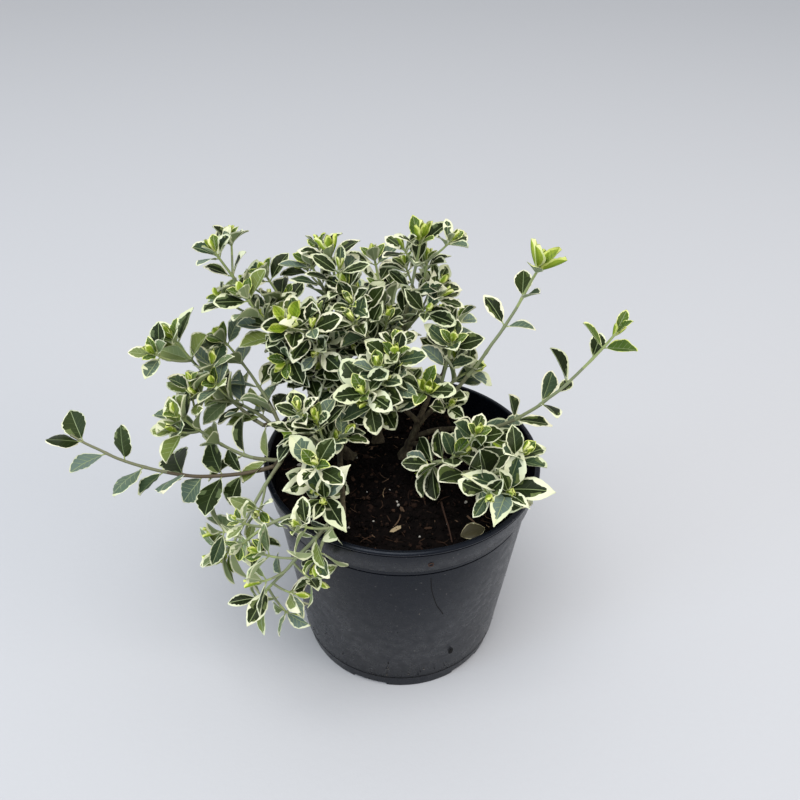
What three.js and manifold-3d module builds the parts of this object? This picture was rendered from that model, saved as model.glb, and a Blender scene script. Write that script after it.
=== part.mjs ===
// An emerald gaiety wintercreeper in a three-litre nursery pot: a low evergreen shrub with
// small cream-edged leaves, three woody stems, forking boughs and many leafy shoots.
// Millimetres, +Z up, +X to the right of the front, +Y to the back. The origin is the
// middle of the pot's underside, on the ground.
import * as THREE from "three";
import { mergeVertices } from "three/addons/utils/BufferGeometryUtils.js";
import Module from "manifold-3d";

const wasm = await Module();
wasm.setup();

// Pot
const POT_HEIGHT = 162;
const RIM_RADIUS = 95;
const LIP_WIDTH = 3.6;
const BAND_HEIGHT = 20;
const BAND_STEP = 2;
const WALL_TOP_RADIUS = 89.7;
const WALL_FOOT_RADIUS = 74.7;
const WALL = 1.4;
const FOOT_RADIUS = 72.3;
const FOOT_WIDTH = 2.4;
const FOOT_LEDGE = 12.4;
const FLOOR_UNDER = 3.4;
const FLOOR = 1.6;
const HUB_RADIUS = 14;
const ROUNDING = 0.7;
const POT_SIDES = 42;
const NOTCH_COUNT = 6;
const NOTCH_WIDTH = 25;
const NOTCH_HEADING = 13;
const DRAIN_RADIUS = 6;
const DRAIN_REACH = 60;
const DRAIN_SIDES = 6;

// Soil
const SOIL_HEIGHT = 143;
const SOIL_MOUND = 2.5;
const SOIL_ROUGHNESS = 1.2;
const SOIL_RIPPLE = { x: 0.15, y: 0.11, skew: 0.17 };
const SOIL_SIDES = 30;
const SOIL_RINGS = 4;

// Limbs
const GAP = 0.3;
const STEM_SIDES = 6;
const STEM_STEPS = 4;
const STEM_FOOT_RADIUS = 3.6;
const STEM_TOP_RADIUS = 2.3;
const STEM_BOW = 1;
const STEM_FLARE = 1.6;
const FLARE_HEIGHT = 9;
const BOUGH_SIDES = 5;
const BOUGH_STEPS = 4;
const BOUGH_ROOT_RADIUS = 2.1;
const BOUGH_TIP_RADIUS = 1.5;
const BOUGH_SPACING = 4.6;
const SHOOT_SPACING = 5.2;

// Shoots, twigs and leaves
const TWIG_SIDES = 3;
const SHOOT_STEPS = 5;
const SHOOT_ROOT_RADIUS = 1.4;
const SHOOT_TIP_RADIUS = 0.9;
const TWIG_ROOT_RADIUS = 1;
const TWIG_TIP_RADIUS = 0.8;
const TWIG_LENGTH = 24;
const TWIG_SCATTER = 0.6;
const TWIG_ANGLE = 48;
const TWIG_SAG = 0.08;
const TWIG_LEAF = 0.85;
const NODE_PITCH = 19;
const NODE_TWIST = 60;
const FIRST_NODE = 9;
const LEAF_LENGTH = 24;
const LEAF_SCATTER = 0.3;
const LEAF_WIDTH = 0.7;
const LEAF_WIDEST = 0.5;
const LEAF_THICKEST = 0.32;
const LEAF_THICKNESS = 0.6;
const LEAF_FOLD = 0.12;
const LEAF_DROOP = 0.08;
const LEAF_ROOT = 0.3;
const LEAF_NECK = 0.35;
const LEAF_ANGLE = 60;
const ANGLE_SCATTER = 14;
const LEAF_LIFT = 0.2;
const LEAF_FACING = 0.6;
const LIGHT = new THREE.Vector3(-0.15, -0.5, 0.85);
const STEEP = 0.62;
const FLAT_TURN = 30;
const FALLEN = 0.06;
const ROSETTE_PAIRS = 2;
const ROSETTE_STEP = 3.5;
const ROSETTE_TWIST = 50;
const ROSETTE_CLOSING = 0.45;
const ROSETTE_SHRINKING = 0.42;
const PAIR_TWIST = 20;
const BUD_LENGTH = 8;
const CLEARANCE = 0.35;
const SPREAD = 46;
const SLIVER = 0.02;

// What a chance is drawn for, so that each draw is its own.
const DRAW = { turn: 1, rosette: 3, size: 5, angle: 11, length: 17, fall: 23, twig: 31 };

// The woody stems: foot and top, each by heading (degrees from +X towards the back) and reach
// from the pot's axis, and the top's height above the ground.
const STEMS = [
  { name: "stem_back", heading: 118, reach: 38, topHeading: 116, topReach: 50, height: 182 },
  { name: "stem_right", heading: 86, reach: 18, topHeading: 60, topReach: 22, height: 174 },
  { name: "stem_left", heading: 158, reach: 40, topHeading: 168, topReach: 52, height: 170 },
];

// The main boughs of each stem: the fork where a bough's shoots begin, and how far the bough
// bows upwards (lift).
const BOUGHS = {
  stem_left: [
    { name: "left", heading: 197, reach: 88, height: 170, lift: 6 },
    { name: "left_back", heading: 177, reach: 95, height: 180, lift: 5 },
    { name: "front", heading: 218, reach: 66, height: 184, lift: 8 },
    { name: "front_left", heading: 247, reach: 88, height: 177, lift: 5 },
  ],
  stem_back: [
    { name: "top_right", heading: 91, reach: 47, height: 232 },
    { name: "top_left", heading: 141, reach: 64, height: 224, lift: 2 },
    { name: "upper_left", heading: 152, reach: 84, height: 214, lift: 4 },
    { name: "back_left", heading: 134, reach: 98, height: 190, lift: 6 },
    { name: "back", heading: 104, reach: 92, height: 196, lift: 6 },
    { name: "top", heading: 106, reach: 46, height: 222 },
  ],
  stem_right: [
    { name: "middle", heading: 130, reach: 14, height: 204 },
    { name: "right_high", heading: 42, reach: 37, height: 188, lift: 2 },
    { name: "back_right", heading: 66, reach: 72, height: 184, lift: 6 },
    { name: "right", heading: 14, reach: 52, height: 172, lift: 5 },
    { name: "front_right", heading: 322, reach: 47, height: 168, lift: 7 },
  ],
};

// The leafy shoots of each bough: the tip's heading, reach and height, how far the shoot bows
// upwards (lift) and to its right as it grows (swing), its side twigs, one unless stated, and the
// size of its leaves next to the rest (leaf).
const SHOOTS = {
  left: [
    { name: "left_far", heading: 188, reach: 221, height: 199, lift: -12, swing: -9, twigs: 0, leaf: 1.2 },
    { name: "left_middle", heading: 184, reach: 153, height: 203, lift: -12, swing: 2 },
    { name: "left_hanging", heading: 208, reach: 134, height: 117, lift: 16, swing: -8, twigs: 2, leaf: 1.1 },
  ],
  left_back: [
    { name: "left_upper", heading: 172, reach: 159, height: 244, lift: -14, swing: 6, twigs: 2 },
    { name: "left_inner", heading: 171, reach: 134, height: 195, swing: 4 },
    { name: "left_high", heading: 160, reach: 138, height: 230, lift: -4, swing: 5 },
  ],
  front_left: [
    { name: "front_left_low", heading: 243, reach: 117, height: 155, lift: 4, swing: 2, leaf: 1.25 },
    { name: "front_left_side", heading: 221, reach: 139, height: 158, lift: 8, swing: 4 },
    { name: "front_left_hanging", heading: 224, reach: 133, height: 108, lift: 16, swing: -14, twigs: 2 },
  ],
  front: [
    { name: "front_centre", heading: 240, reach: 90, height: 177, lift: 3, leaf: 1.25 },
    { name: "front_middle", heading: 196, reach: 38, height: 208, lift: 6, swing: 2, twigs: 2 },
    { name: "front_side", heading: 188, reach: 78, height: 192, lift: 6 },
  ],
  upper_left: [
    { name: "upper_left_tall", heading: 158, reach: 139, height: 293, lift: -8, swing: 4 },
    { name: "upper_left_mid", heading: 161, reach: 116, height: 269, lift: -2, swing: -4 },
    { name: "upper_left_back", heading: 145, reach: 121, height: 269, lift: -3, swing: 4 },
    { name: "upper_left_front", heading: 171, reach: 84, height: 226, lift: 6 },
  ],
  top_left: [
    { name: "top_left_front", heading: 171, reach: 79, height: 257, swing: -4, twigs: 2 },
    { name: "top_left_back", heading: 133, reach: 99, height: 279, swing: 4 },
    { name: "top_left_tall", heading: 128, reach: 83, height: 289, swing: 2 },
  ],
  top: [
    { name: "top_thin", heading: 105, reach: 87, height: 277, lift: -6, swing: 2, twigs: 0 },
    { name: "top_middle", heading: 132, reach: 64, height: 272 },
    { name: "top_front", heading: 149, reach: 42, height: 258, twigs: 2 },
  ],
  top_right: [
    { name: "top_tall", heading: 76, reach: 45, height: 309, swing: -2 },
    { name: "top_tall_back", heading: 74, reach: 62, height: 285, swing: 4 },
    { name: "top_right_side", heading: 56, reach: 51, height: 267, lift: 4 },
  ],
  middle: [
    { name: "middle_high", heading: 180, reach: 5, height: 247, twigs: 2 },
    { name: "middle_right", heading: 331, reach: 25, height: 222, lift: 4 },
    { name: "middle_front", heading: 217, reach: 36, height: 227, lift: 4, leaf: 1.15 },
  ],
  right_high: [
    { name: "right_tall", heading: 12, reach: 88, height: 302, lift: -8, swing: 4, twigs: 0, leaf: 1.1 },
    { name: "right_inner", heading: 34, reach: 40, height: 246, swing: -3 },
    { name: "right_edge", heading: 34, reach: 64, height: 214, lift: 4, swing: -2 },
  ],
  right: [
    { name: "right_far", heading: 357, reach: 135, height: 270, lift: -14, swing: 4, twigs: 0, leaf: 1.15 },
    { name: "right_low", heading: 350, reach: 66, height: 178, lift: 5, twigs: 0 },
  ],
  front_right: [
    { name: "front_right_tip", heading: 315, reach: 101, height: 186, lift: 8, leaf: 1.3 },
    { name: "front_low", heading: 300, reach: 20, height: 164, lift: 6, twigs: 0 },
    { name: "front_right_inner", heading: 334, reach: 46, height: 184, lift: 2 },
  ],
  back_right: [
    { name: "back_right_tip", heading: 66, reach: 106, height: 222, lift: 4 },
  ],
  back: [
    { name: "back_middle", heading: 92, reach: 128, height: 232, lift: 2, swing: 4 },
    { name: "back_low", heading: 108, reach: 136, height: 200, lift: 6, swing: -4 },
  ],
  back_left: [
    { name: "back_left_tip", heading: 130, reach: 148, height: 218, lift: 2, swing: 4 },
  ],
};

const UP = new THREE.Vector3(0, 0, 1);

// Materials
const POT_BLACK = new THREE.MeshStandardMaterial({ color: 0x26282b, roughness: 0.5, metalness: 0 });
const SOIL_BROWN = new THREE.MeshStandardMaterial({ color: 0x1d1512, roughness: 0.95, metalness: 0 });
const BARK_BROWN = new THREE.MeshStandardMaterial({ color: 0x6b5f45, roughness: 0.85, metalness: 0 });
const LEAF_GREEN = new THREE.MeshStandardMaterial({ color: 0x5f7a4c, roughness: 0.55, metalness: 0 });

// A number from 0 to 1 that depends only on the three given.
function chance(a, b, c) {
  const wave = Math.sin(a * 12.9898 + b * 78.233 + c * 37.719) * 43758.5453;
  return wave - Math.floor(wave);
}

function polar(heading, reach, height) {
  const angle = THREE.MathUtils.degToRad(heading);
  return new THREE.Vector3(reach * Math.cos(angle), reach * Math.sin(angle), height);
}

// A closed geometry as a solid that can be joined and cut.
function solidOf(geometry) {
  geometry.deleteAttribute("normal");
  geometry.deleteAttribute("uv");
  const merged = mergeVertices(geometry, 1e-4);
  return new wasm.Manifold(
    new wasm.Mesh({
      numProp: 3,
      vertProperties: merged.getAttribute("position").array,
      triVerts: new Uint32Array(merged.index.array),
    }),
  );
}

function meshOf(name, solid, material) {
  const { vertProperties, triVerts } = solid.getMesh();
  const geometry = new THREE.BufferGeometry();
  geometry.setAttribute("position", new THREE.BufferAttribute(vertProperties, 3));
  geometry.setIndex(new THREE.BufferAttribute(triVerts, 1));
  geometry.computeVertexNormals();
  const mesh = new THREE.Mesh(geometry, material);
  mesh.name = name;
  return mesh;
}

// The largest body of a solid, without loose scraps, sealed hollows and slivers.
function wholeBody(solid) {
  const bodies = solid.simplify(SLIVER).decompose();
  return bodies.reduce((best, body) => (body.volume() > best.volume() ? body : best));
}

function lathe(profile, sides) {
  const points = profile.map(([radius, height]) => new THREE.Vector2(radius, height));
  const geometry = new THREE.LatheGeometry(points, sides);
  geometry.rotateX(Math.PI / 2);
  return geometry;
}

// A curve between two points that bows upwards by lift and sideways by swing.
function bowed(from, to, lift, swing) {
  const side = to.clone().sub(from).cross(UP).normalize();
  const middle = from.clone().lerp(to, 0.5);
  middle.addScaledVector(UP, 2 * lift).addScaledVector(side, 2 * swing);
  return new THREE.QuadraticBezierCurve3(from, middle, to);
}

// A tapering limb along a curve, as a closed cylinder bent to it.
function limb(curve, rootRadius, tipRadius, sides, steps) {
  const geometry = new THREE.CylinderGeometry(tipRadius, rootRadius, 1, sides, steps);
  const frames = curve.computeFrenetFrames(steps);
  const position = geometry.getAttribute("position");
  for (let i = 0; i < position.count; i += 1) {
    const step = Math.round((position.getY(i) + 0.5) * steps);
    const point = curve.getPointAt(step / steps);
    point.addScaledVector(frames.binormals[step], position.getX(i));
    point.addScaledVector(frames.normals[step], position.getZ(i));
    position.setXYZ(i, point.x, point.y, point.z);
  }
  return solidOf(geometry);
}

function makePot() {
  const bandFoot = POT_HEIGHT - BAND_HEIGHT;
  const lipInner = RIM_RADIUS - LIP_WIDTH;
  const floorTop = FLOOR_UNDER + FLOOR;
  let pot = solidOf(
    lathe(
      [
        [0, 0],
        [HUB_RADIUS, 0],
        [HUB_RADIUS + ROUNDING, FLOOR_UNDER],
        [FOOT_RADIUS - FOOT_WIDTH - ROUNDING, FLOOR_UNDER],
        [FOOT_RADIUS - FOOT_WIDTH, 0],
        [FOOT_RADIUS, 0],
        [WALL_FOOT_RADIUS - ROUNDING, FOOT_LEDGE - ROUNDING],
        [WALL_FOOT_RADIUS, FOOT_LEDGE],
        [WALL_TOP_RADIUS, bandFoot],
        [WALL_TOP_RADIUS + BAND_STEP, bandFoot],
        [RIM_RADIUS - ROUNDING, POT_HEIGHT - 3 * ROUNDING],
        [RIM_RADIUS, POT_HEIGHT - 2 * ROUNDING],
        [RIM_RADIUS - ROUNDING, POT_HEIGHT],
        [lipInner, POT_HEIGHT],
        [WALL_TOP_RADIUS - WALL, bandFoot],
        [FOOT_RADIUS - WALL, floorTop],
        [0, floorTop],
      ],
      POT_SIDES,
    ),
  );
  for (let i = 0; i < NOTCH_COUNT; i += 1) {
    const heading = THREE.MathUtils.degToRad(NOTCH_HEADING + (i * 360) / NOTCH_COUNT);
    const notch = new THREE.BoxGeometry(4 * FOOT_WIDTH, NOTCH_WIDTH, 2 * (FLOOR_UNDER - ROUNDING));
    notch.translate(FOOT_RADIUS - FOOT_WIDTH, 0, 0);
    notch.rotateZ(heading);
    const drain = new THREE.CylinderGeometry(DRAIN_RADIUS, DRAIN_RADIUS, 4 * FLOOR, DRAIN_SIDES);
    drain.rotateX(Math.PI / 2);
    drain.translate(DRAIN_REACH, 0, FLOOR_UNDER + FLOOR / 2);
    drain.rotateZ(heading);
    pot = pot.subtract(solidOf(notch)).subtract(solidOf(drain));
  }
  return pot;
}

// Radius of the pot's inner wall at a height.
function innerRadius(height) {
  const floorTop = FLOOR_UNDER + FLOOR + ROUNDING;
  const share = (height - floorTop) / (POT_HEIGHT - BAND_HEIGHT - floorTop);
  return THREE.MathUtils.lerp(FOOT_RADIUS, WALL_TOP_RADIUS, share) - WALL;
}

// The height of the soil's uneven surface at a point.
function soilTop(x, y) {
  const share = Math.min(1, Math.hypot(x, y) / innerRadius(SOIL_HEIGHT));
  const broad = Math.sin(x * SOIL_RIPPLE.x) * Math.cos(y * SOIL_RIPPLE.y);
  const waves = broad + Math.sin((x - y) * SOIL_RIPPLE.skew) / 2;
  return SOIL_HEIGHT + (SOIL_MOUND + SOIL_ROUGHNESS * waves) * (1 - share * share);
}

// The soil fills the pot to the foot of the band.
function makeSoil() {
  const floorTop = FLOOR_UNDER + FLOOR + GAP;
  const within = (radius) => radius * Math.cos(Math.PI / POT_SIDES) - GAP;
  const edge = within(innerRadius(SOIL_HEIGHT));
  const profile = [
    [0, floorTop],
    [within(innerRadius(floorTop)) - ROUNDING, floorTop],
  ];
  for (let ring = 0; ring <= SOIL_RINGS; ring += 1) {
    profile.push([edge * (1 - ring / SOIL_RINGS), SOIL_HEIGHT]);
  }
  const geometry = lathe(profile, SOIL_SIDES);
  const position = geometry.getAttribute("position");
  for (let i = 0; i < position.count; i += 1) {
    if (position.getZ(i) > floorTop + GAP) {
      position.setZ(i, soilTop(position.getX(i), position.getY(i)));
    }
  }
  return solidOf(geometry);
}

// What is already in place: limbs, twigs and leaves. Each has its owner's name and a guard, the
// same shape a gap wider, that later limbs are cut by.
const placed = [];

function place(owner, solid, guard) {
  placed.push({ owner, solid, guard, box: guard.boundingBox() });
}

function boxesMeet(a, b) {
  return [0, 1, 2].every((i) => a.min[i] < b.max[i] && b.min[i] < a.max[i]);
}

// Whether a solid keeps clear of everything in place that isn't left out.
function isClear(solid, leftOut) {
  const box = solid.boundingBox();
  return placed.every(
    (other) => leftOut(other) || !boxesMeet(box, other.box) || solid.intersect(other.solid).isEmpty(),
  );
}

// A limb with its guard. The guard also reaches past the limb's tip.
function guardedLimb(curve, rootRadius, tipRadius, sides, steps) {
  const margin = GAP / Math.cos(Math.PI / sides);
  const tip = curve.getPointAt(1);
  const tangent = curve.getTangentAt(1);
  const cap = new THREE.LineCurve3(
    tip.clone().addScaledVector(tangent, -GAP),
    tip.clone().addScaledVector(tangent, GAP),
  );
  const capRadius = tipRadius + 2 * margin;
  return {
    solid: limb(curve, rootRadius, tipRadius, sides, steps),
    guard: limb(curve, rootRadius + margin, tipRadius + margin, sides, steps).add(
      limb(cap, capRadius, capRadius, sides, 1),
    ),
  };
}

// A solid cut clear of everything in place, without the scraps that this leaves.
function cutClear(solid) {
  const box = solid.boundingBox();
  const near = placed.filter((other) => boxesMeet(box, other.box));
  return wholeBody(near.reduce((rest, other) => rest.subtract(other.guard), solid));
}

// The three woody stems stand in the soil with a slight flare at the foot.
function makeStems() {
  const stems = new Map();
  for (const row of STEMS) {
    const foot = polar(row.heading, row.reach, 0);
    foot.z = soilTop(foot.x, foot.y) + SOIL_ROUGHNESS;
    const curve = bowed(foot, polar(row.topHeading, row.topReach, row.height), 0, STEM_BOW);
    const flareTop = curve.getPointAt(FLARE_HEIGHT / curve.getLength());
    const flare = new THREE.LineCurve3(foot, flareTop);
    const flareRadius = STEM_FOOT_RADIUS * STEM_FLARE;
    const stem = guardedLimb(curve, STEM_FOOT_RADIUS, STEM_TOP_RADIUS, STEM_SIDES, STEM_STEPS);
    const solid = stem.solid.add(limb(flare, flareRadius, STEM_TOP_RADIUS, STEM_SIDES, 1));
    const standing = cutClear(solid);
    stems.set(row.name, { curve, solid: standing });
    place(row.name, standing, stem.guard);
  }
  return stems;
}

// Where a limb leaves its parent: the first at the tip, its sisters in steps further down.
function forkPoint(parent, sister, spacing) {
  return parent.curve.getPointAt(1 - (sister * spacing) / parent.curve.getLength());
}

// The rows of a table, each with its parent's name and its number among its sisters.
function rowsOf(table) {
  return Object.entries(table).flatMap(([parent, rows]) =>
    rows.map((row, sister) => ({ lift: 0, swing: 0, twigs: 1, leaf: 1, ...row, parent, sister })),
  );
}

function makeBoughs(stems) {
  const boughs = new Map();
  for (const row of rowsOf(BOUGHS)) {
    const start = forkPoint(stems.get(row.parent), row.sister, BOUGH_SPACING);
    const curve = bowed(start, polar(row.heading, row.reach, row.height), row.lift, row.swing);
    const bough = guardedLimb(curve, BOUGH_ROOT_RADIUS, BOUGH_TIP_RADIUS, BOUGH_SIDES, BOUGH_STEPS);
    const solid = cutClear(bough.solid);
    boughs.set(row.name, { curve, solid });
    place(row.name, solid, bough.guard);
  }
  return boughs;
}

// A leaf that leaves a twig at an azimuth round it and an angle from it, and turns its face to
// the light.
function leafAt(point, tangent, azimuth, angle, length) {
  const turn = THREE.MathUtils.degToRad(azimuth);
  const tilt = THREE.MathUtils.degToRad(angle);
  const side = tangent.clone().cross(UP).normalize();
  const over = side.clone().cross(tangent);
  const radial = side.multiplyScalar(Math.cos(turn)).addScaledVector(over, Math.sin(turn));
  const along = tangent.clone().multiplyScalar(Math.cos(tilt));
  along.addScaledVector(radial, Math.sin(tilt)).addScaledVector(UP, LEAF_LIFT).normalize();
  const face = tangent.clone().multiplyScalar(LEAF_FACING).add(LIGHT);
  face.addScaledVector(along, -face.dot(along)).normalize();
  return { base: point, along, face, length, width: length * LEAF_WIDTH };
}

// The leaves of a rosette that ends a shoot or twig, the outer pair first.
function rosette(seed, curve, length) {
  const leaves = [];
  const reach = curve.getLength();
  for (let pair = 0; pair < ROSETTE_PAIRS; pair += 1) {
    const share = 1 - ((ROSETTE_PAIRS - 0.5 - pair) * ROSETTE_STEP) / reach;
    const inwards = pair / (ROSETTE_PAIRS - 1);
    const angle = LEAF_ANGLE * (1 - ROSETTE_CLOSING * inwards);
    const size = length * (1 - ROSETTE_SHRINKING * inwards);
    const turn = 90 * pair + ROSETTE_TWIST * chance(seed, ROSETTE_PAIRS, DRAW.rosette);
    for (const half of [0, 180]) {
      const azimuth = turn + half + PAIR_TWIST * chance(seed, pair, half);
      const point = curve.getPointAt(share);
      leaves.push(leafAt(point, curve.getTangentAt(share), azimuth, angle, size));
    }
  }
  return leaves;
}

// How far round a shoot the pair at a node is: a steep shoot bears each pair across the one
// before, a level one bears them all to its sides.
function nodeTurn(tangent, node) {
  return tangent.z > STEEP ? 90 * node : FLAT_TURN * (node % 2);
}

// What grows on a shoot: pairs of leaves at its nodes, side twigs between the pair at some of
// them, and a rosette at every tip.
function growth(seed, curve, twigCount, leafShare) {
  const reach = curve.getLength();
  const leafLength = LEAF_LENGTH * leafShare;
  const nodes = Math.max(1, Math.round((reach - FIRST_NODE) / (NODE_PITCH * leafShare)));
  const leaves = rosette(seed, curve, leafLength);
  const twigs = [];
  for (let node = 0; node < nodes; node += 1) {
    const share = (FIRST_NODE + ((reach - FIRST_NODE) * node) / nodes) / reach;
    const point = curve.getPointAt(share);
    const tangent = curve.getTangentAt(share);
    const turn = nodeTurn(tangent, node) + NODE_TWIST * (chance(seed, node, DRAW.turn) - 0.5);
    for (const half of [0, 180]) {
      const angle = LEAF_ANGLE + ANGLE_SCATTER * (chance(seed, node, DRAW.angle + half) - 0.5);
      const size = leafLength * (1 + LEAF_SCATTER * (chance(seed, node, DRAW.size + half) - 0.5));
      if (chance(seed, node, DRAW.fall + half) > FALLEN) {
        leaves.push(leafAt(point, tangent, turn + half, angle, size));
      }
    }
    const twigsDue = Math.floor(((node + 1) * twigCount) / nodes);
    if (twigsDue > twigs.length) {
      const between = turn + 90 + 180 * (twigs.length % 2);
      const aim = leafAt(point, tangent, between, TWIG_ANGLE, 1).along;
      const length = TWIG_LENGTH * (1 + TWIG_SCATTER * (chance(seed, node, DRAW.length) - 0.5));
      const end = point.clone().addScaledVector(aim, length);
      const path = bowed(point, end, -TWIG_SAG * length, 0);
      const twigSeed = seed + DRAW.twig * (node + 1);
      twigs.push({ curve: path, leaves: rosette(twigSeed, path, TWIG_LEAF * leafLength) });
    }
  }
  return { leaves, twigs };
}

// A leaf as a thin folded blade of six faces: root, tip, two sides and a low ridge. Grow makes
// it that much larger all round, and neck leaves out that share of it next to the twig.
function leafSolid(leaf, grow, neck) {
  const across = leaf.face.clone().cross(leaf.along);
  const corners = [1, 0, 0, -1, 0, 0, 0, 1, 0, 0, -1, 0, 0, 0, 1];
  const faces = [0, 2, 4, 2, 1, 4, 1, 3, 4, 3, 0, 4, 0, 1, 2, 0, 3, 1];
  const geometry = new THREE.PolyhedronGeometry(corners, faces, 1, 0);
  const position = geometry.getAttribute("position");
  const root = neck > 0 ? neck * leaf.length : -LEAF_ROOT;
  for (let i = 0; i < position.count; i += 1) {
    const [x, y, z] = [position.getX(i), position.getY(i), position.getZ(i)];
    const middle = (Math.abs(z) > 0.5 ? LEAF_THICKEST : LEAF_WIDEST) * leaf.length;
    const forward = x > 0.5 ? leaf.length + grow : x < -0.5 ? root : middle;
    const sideways = y * (leaf.width / 2 + grow);
    const fold = LEAF_FOLD * leaf.width * Math.abs(y) - LEAF_DROOP * leaf.length * Math.max(0, x);
    const rise = z * (LEAF_THICKNESS + 2 * grow) - grow + fold;
    const point = leaf.base.clone().addScaledVector(leaf.along, forward);
    point.addScaledVector(across, sideways).addScaledVector(leaf.face, rise);
    position.setXYZ(i, point.x, point.y, point.z);
  }
  return solidOf(geometry);
}

// Whether a point lies in the space that a shoot's foliage keeps to.
function inSpace(point, curve) {
  return curve.getPoints(SHOOT_STEPS).some((near) => near.distanceTo(point) < SPREAD);
}

// The masses of foliage: all their stems first, then the side twigs, then the leaves. A twig or
// leaf that would touch another node or leave its space is skipped.
function makeFoliage(boughs) {
  const masses = rowsOf(SHOOTS).map((row, i) => {
    const start = forkPoint(boughs.get(row.parent), row.sister, SHOOT_SPACING);
    const end = polar(row.heading, row.reach, row.height);
    end.lerp(start, BUD_LENGTH / end.distanceTo(start));
    const curve = bowed(start, end, row.lift, row.swing);
    const stem = guardedLimb(curve, SHOOT_ROOT_RADIUS, SHOOT_TIP_RADIUS, TWIG_SIDES, SHOOT_STEPS);
    const solid = cutClear(stem.solid);
    place(row.name, solid, stem.guard);
    const isOwn = (other) => other.owner === row.name;
    return { name: row.name, isOwn, curve, solid, ...growth(i + 1, curve, row.twigs, row.leaf) };
  });
  for (const mass of masses) {
    const widths = [TWIG_ROOT_RADIUS, TWIG_TIP_RADIUS];
    const wider = widths.map((radius) => radius + CLEARANCE);
    mass.twigs = mass.twigs.filter((twig) => {
      const guard = limb(twig.curve, ...wider, TWIG_SIDES, 1);
      return isClear(guard, mass.isOwn);
    });
    for (const { curve } of mass.twigs) {
      const solid = limb(curve, ...widths, TWIG_SIDES, 1);
      place(mass.name, solid, solid);
      mass.solid = mass.solid.add(solid);
    }
  }
  for (const mass of masses) {
    const leaves = [...mass.leaves, ...mass.twigs.flatMap((twig) => twig.leaves)];
    for (const leaf of leaves) {
      const tip = leaf.base.clone().addScaledVector(leaf.along, leaf.length);
      const isClearOfOthers = isClear(leafSolid(leaf, CLEARANCE, 0), mass.isOwn);
      const isClearOfOwn = isClear(leafSolid(leaf, 0, LEAF_NECK), (other) => !mass.isOwn(other));
      if (inSpace(tip, mass.curve) && isClearOfOthers && isClearOfOwn) {
        const solid = leafSolid(leaf, 0, 0);
        place(mass.name, solid, solid);
        mass.solid = mass.solid.add(solid);
      }
    }
  }
  return masses;
}

const wintercreeper = new THREE.Group();
const pot = makePot();
place("pot", pot, pot);
wintercreeper.add(meshOf("pot", pot, POT_BLACK));
const soil = makeSoil();
place("soil", soil, soil);
wintercreeper.add(meshOf("soil", soil, SOIL_BROWN));
const stems = makeStems();
stems.forEach(({ solid }, name) => wintercreeper.add(meshOf(name, solid, BARK_BROWN)));
const boughs = makeBoughs(stems);
boughs.forEach(({ solid }, name) => wintercreeper.add(meshOf(`bough_${name}`, solid, BARK_BROWN)));
for (const { name, solid } of makeFoliage(boughs)) {
  wintercreeper.add(meshOf(`foliage_${name}`, wholeBody(solid), LEAF_GREEN));
}

export default wintercreeper;
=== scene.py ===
"""An emerald gaiety wintercreeper in a black nursery pot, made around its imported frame.

Everything is worked out in millimetres, in the frame of the part, and turned into metres when
its mesh is made. The shoots, twigs and leaves grow by the same seeded rule as the solids, and
go on from it to finer twigs and fuller rosettes.
"""
import math

import bpy
import numpy as np
from mathutils import Matrix


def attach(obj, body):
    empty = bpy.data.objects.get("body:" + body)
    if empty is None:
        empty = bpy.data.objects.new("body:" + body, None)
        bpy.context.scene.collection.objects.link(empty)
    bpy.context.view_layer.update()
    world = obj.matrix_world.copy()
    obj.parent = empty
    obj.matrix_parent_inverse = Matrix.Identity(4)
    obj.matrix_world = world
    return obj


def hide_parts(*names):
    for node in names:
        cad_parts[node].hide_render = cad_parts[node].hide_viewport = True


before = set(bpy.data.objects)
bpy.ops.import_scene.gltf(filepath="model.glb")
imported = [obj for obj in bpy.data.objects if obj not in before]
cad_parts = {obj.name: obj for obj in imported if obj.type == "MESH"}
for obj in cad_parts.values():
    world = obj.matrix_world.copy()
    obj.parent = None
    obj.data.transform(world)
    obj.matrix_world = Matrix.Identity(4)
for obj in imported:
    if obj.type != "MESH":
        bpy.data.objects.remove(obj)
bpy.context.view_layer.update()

MM = 0.001
UP = np.array([0.0, 0.0, 1.0])

# Camera, matched to the pot in the photograph.
CAMERA_BACK = 428.5
CAMERA_HEIGHT = 514.2
CAMERA_PITCH = 35.66
CAMERA_YAW = -0.26
CAMERA_ROLL = 0.75
CAMERA_LENS = 36

# Pot
POT_HEIGHT = 162
RIM_RADIUS = 95
LIP_WIDTH = 3.6
BAND_HEIGHT = 20
BAND_STEP = 2
BAND_FOOT = POT_HEIGHT - BAND_HEIGHT
WALL_TOP_RADIUS = 89.7
WALL_FOOT_RADIUS = 74.7
WALL = 1.4
FOOT_RADIUS = 72.3
FOOT_WIDTH = 2.4
FOOT_LEDGE = 12.4
FLOOR_UNDER = 3.4
FLOOR = 1.6
HUB_RADIUS = 14
ROUNDING = 0.7
NOTCH_COUNT = 6
NOTCH_WIDTH = 25
NOTCH_HEADING = 13
DRAIN_RADIUS = 6
DRAIN_REACH = 60
POT_SIDES = 240

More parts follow.
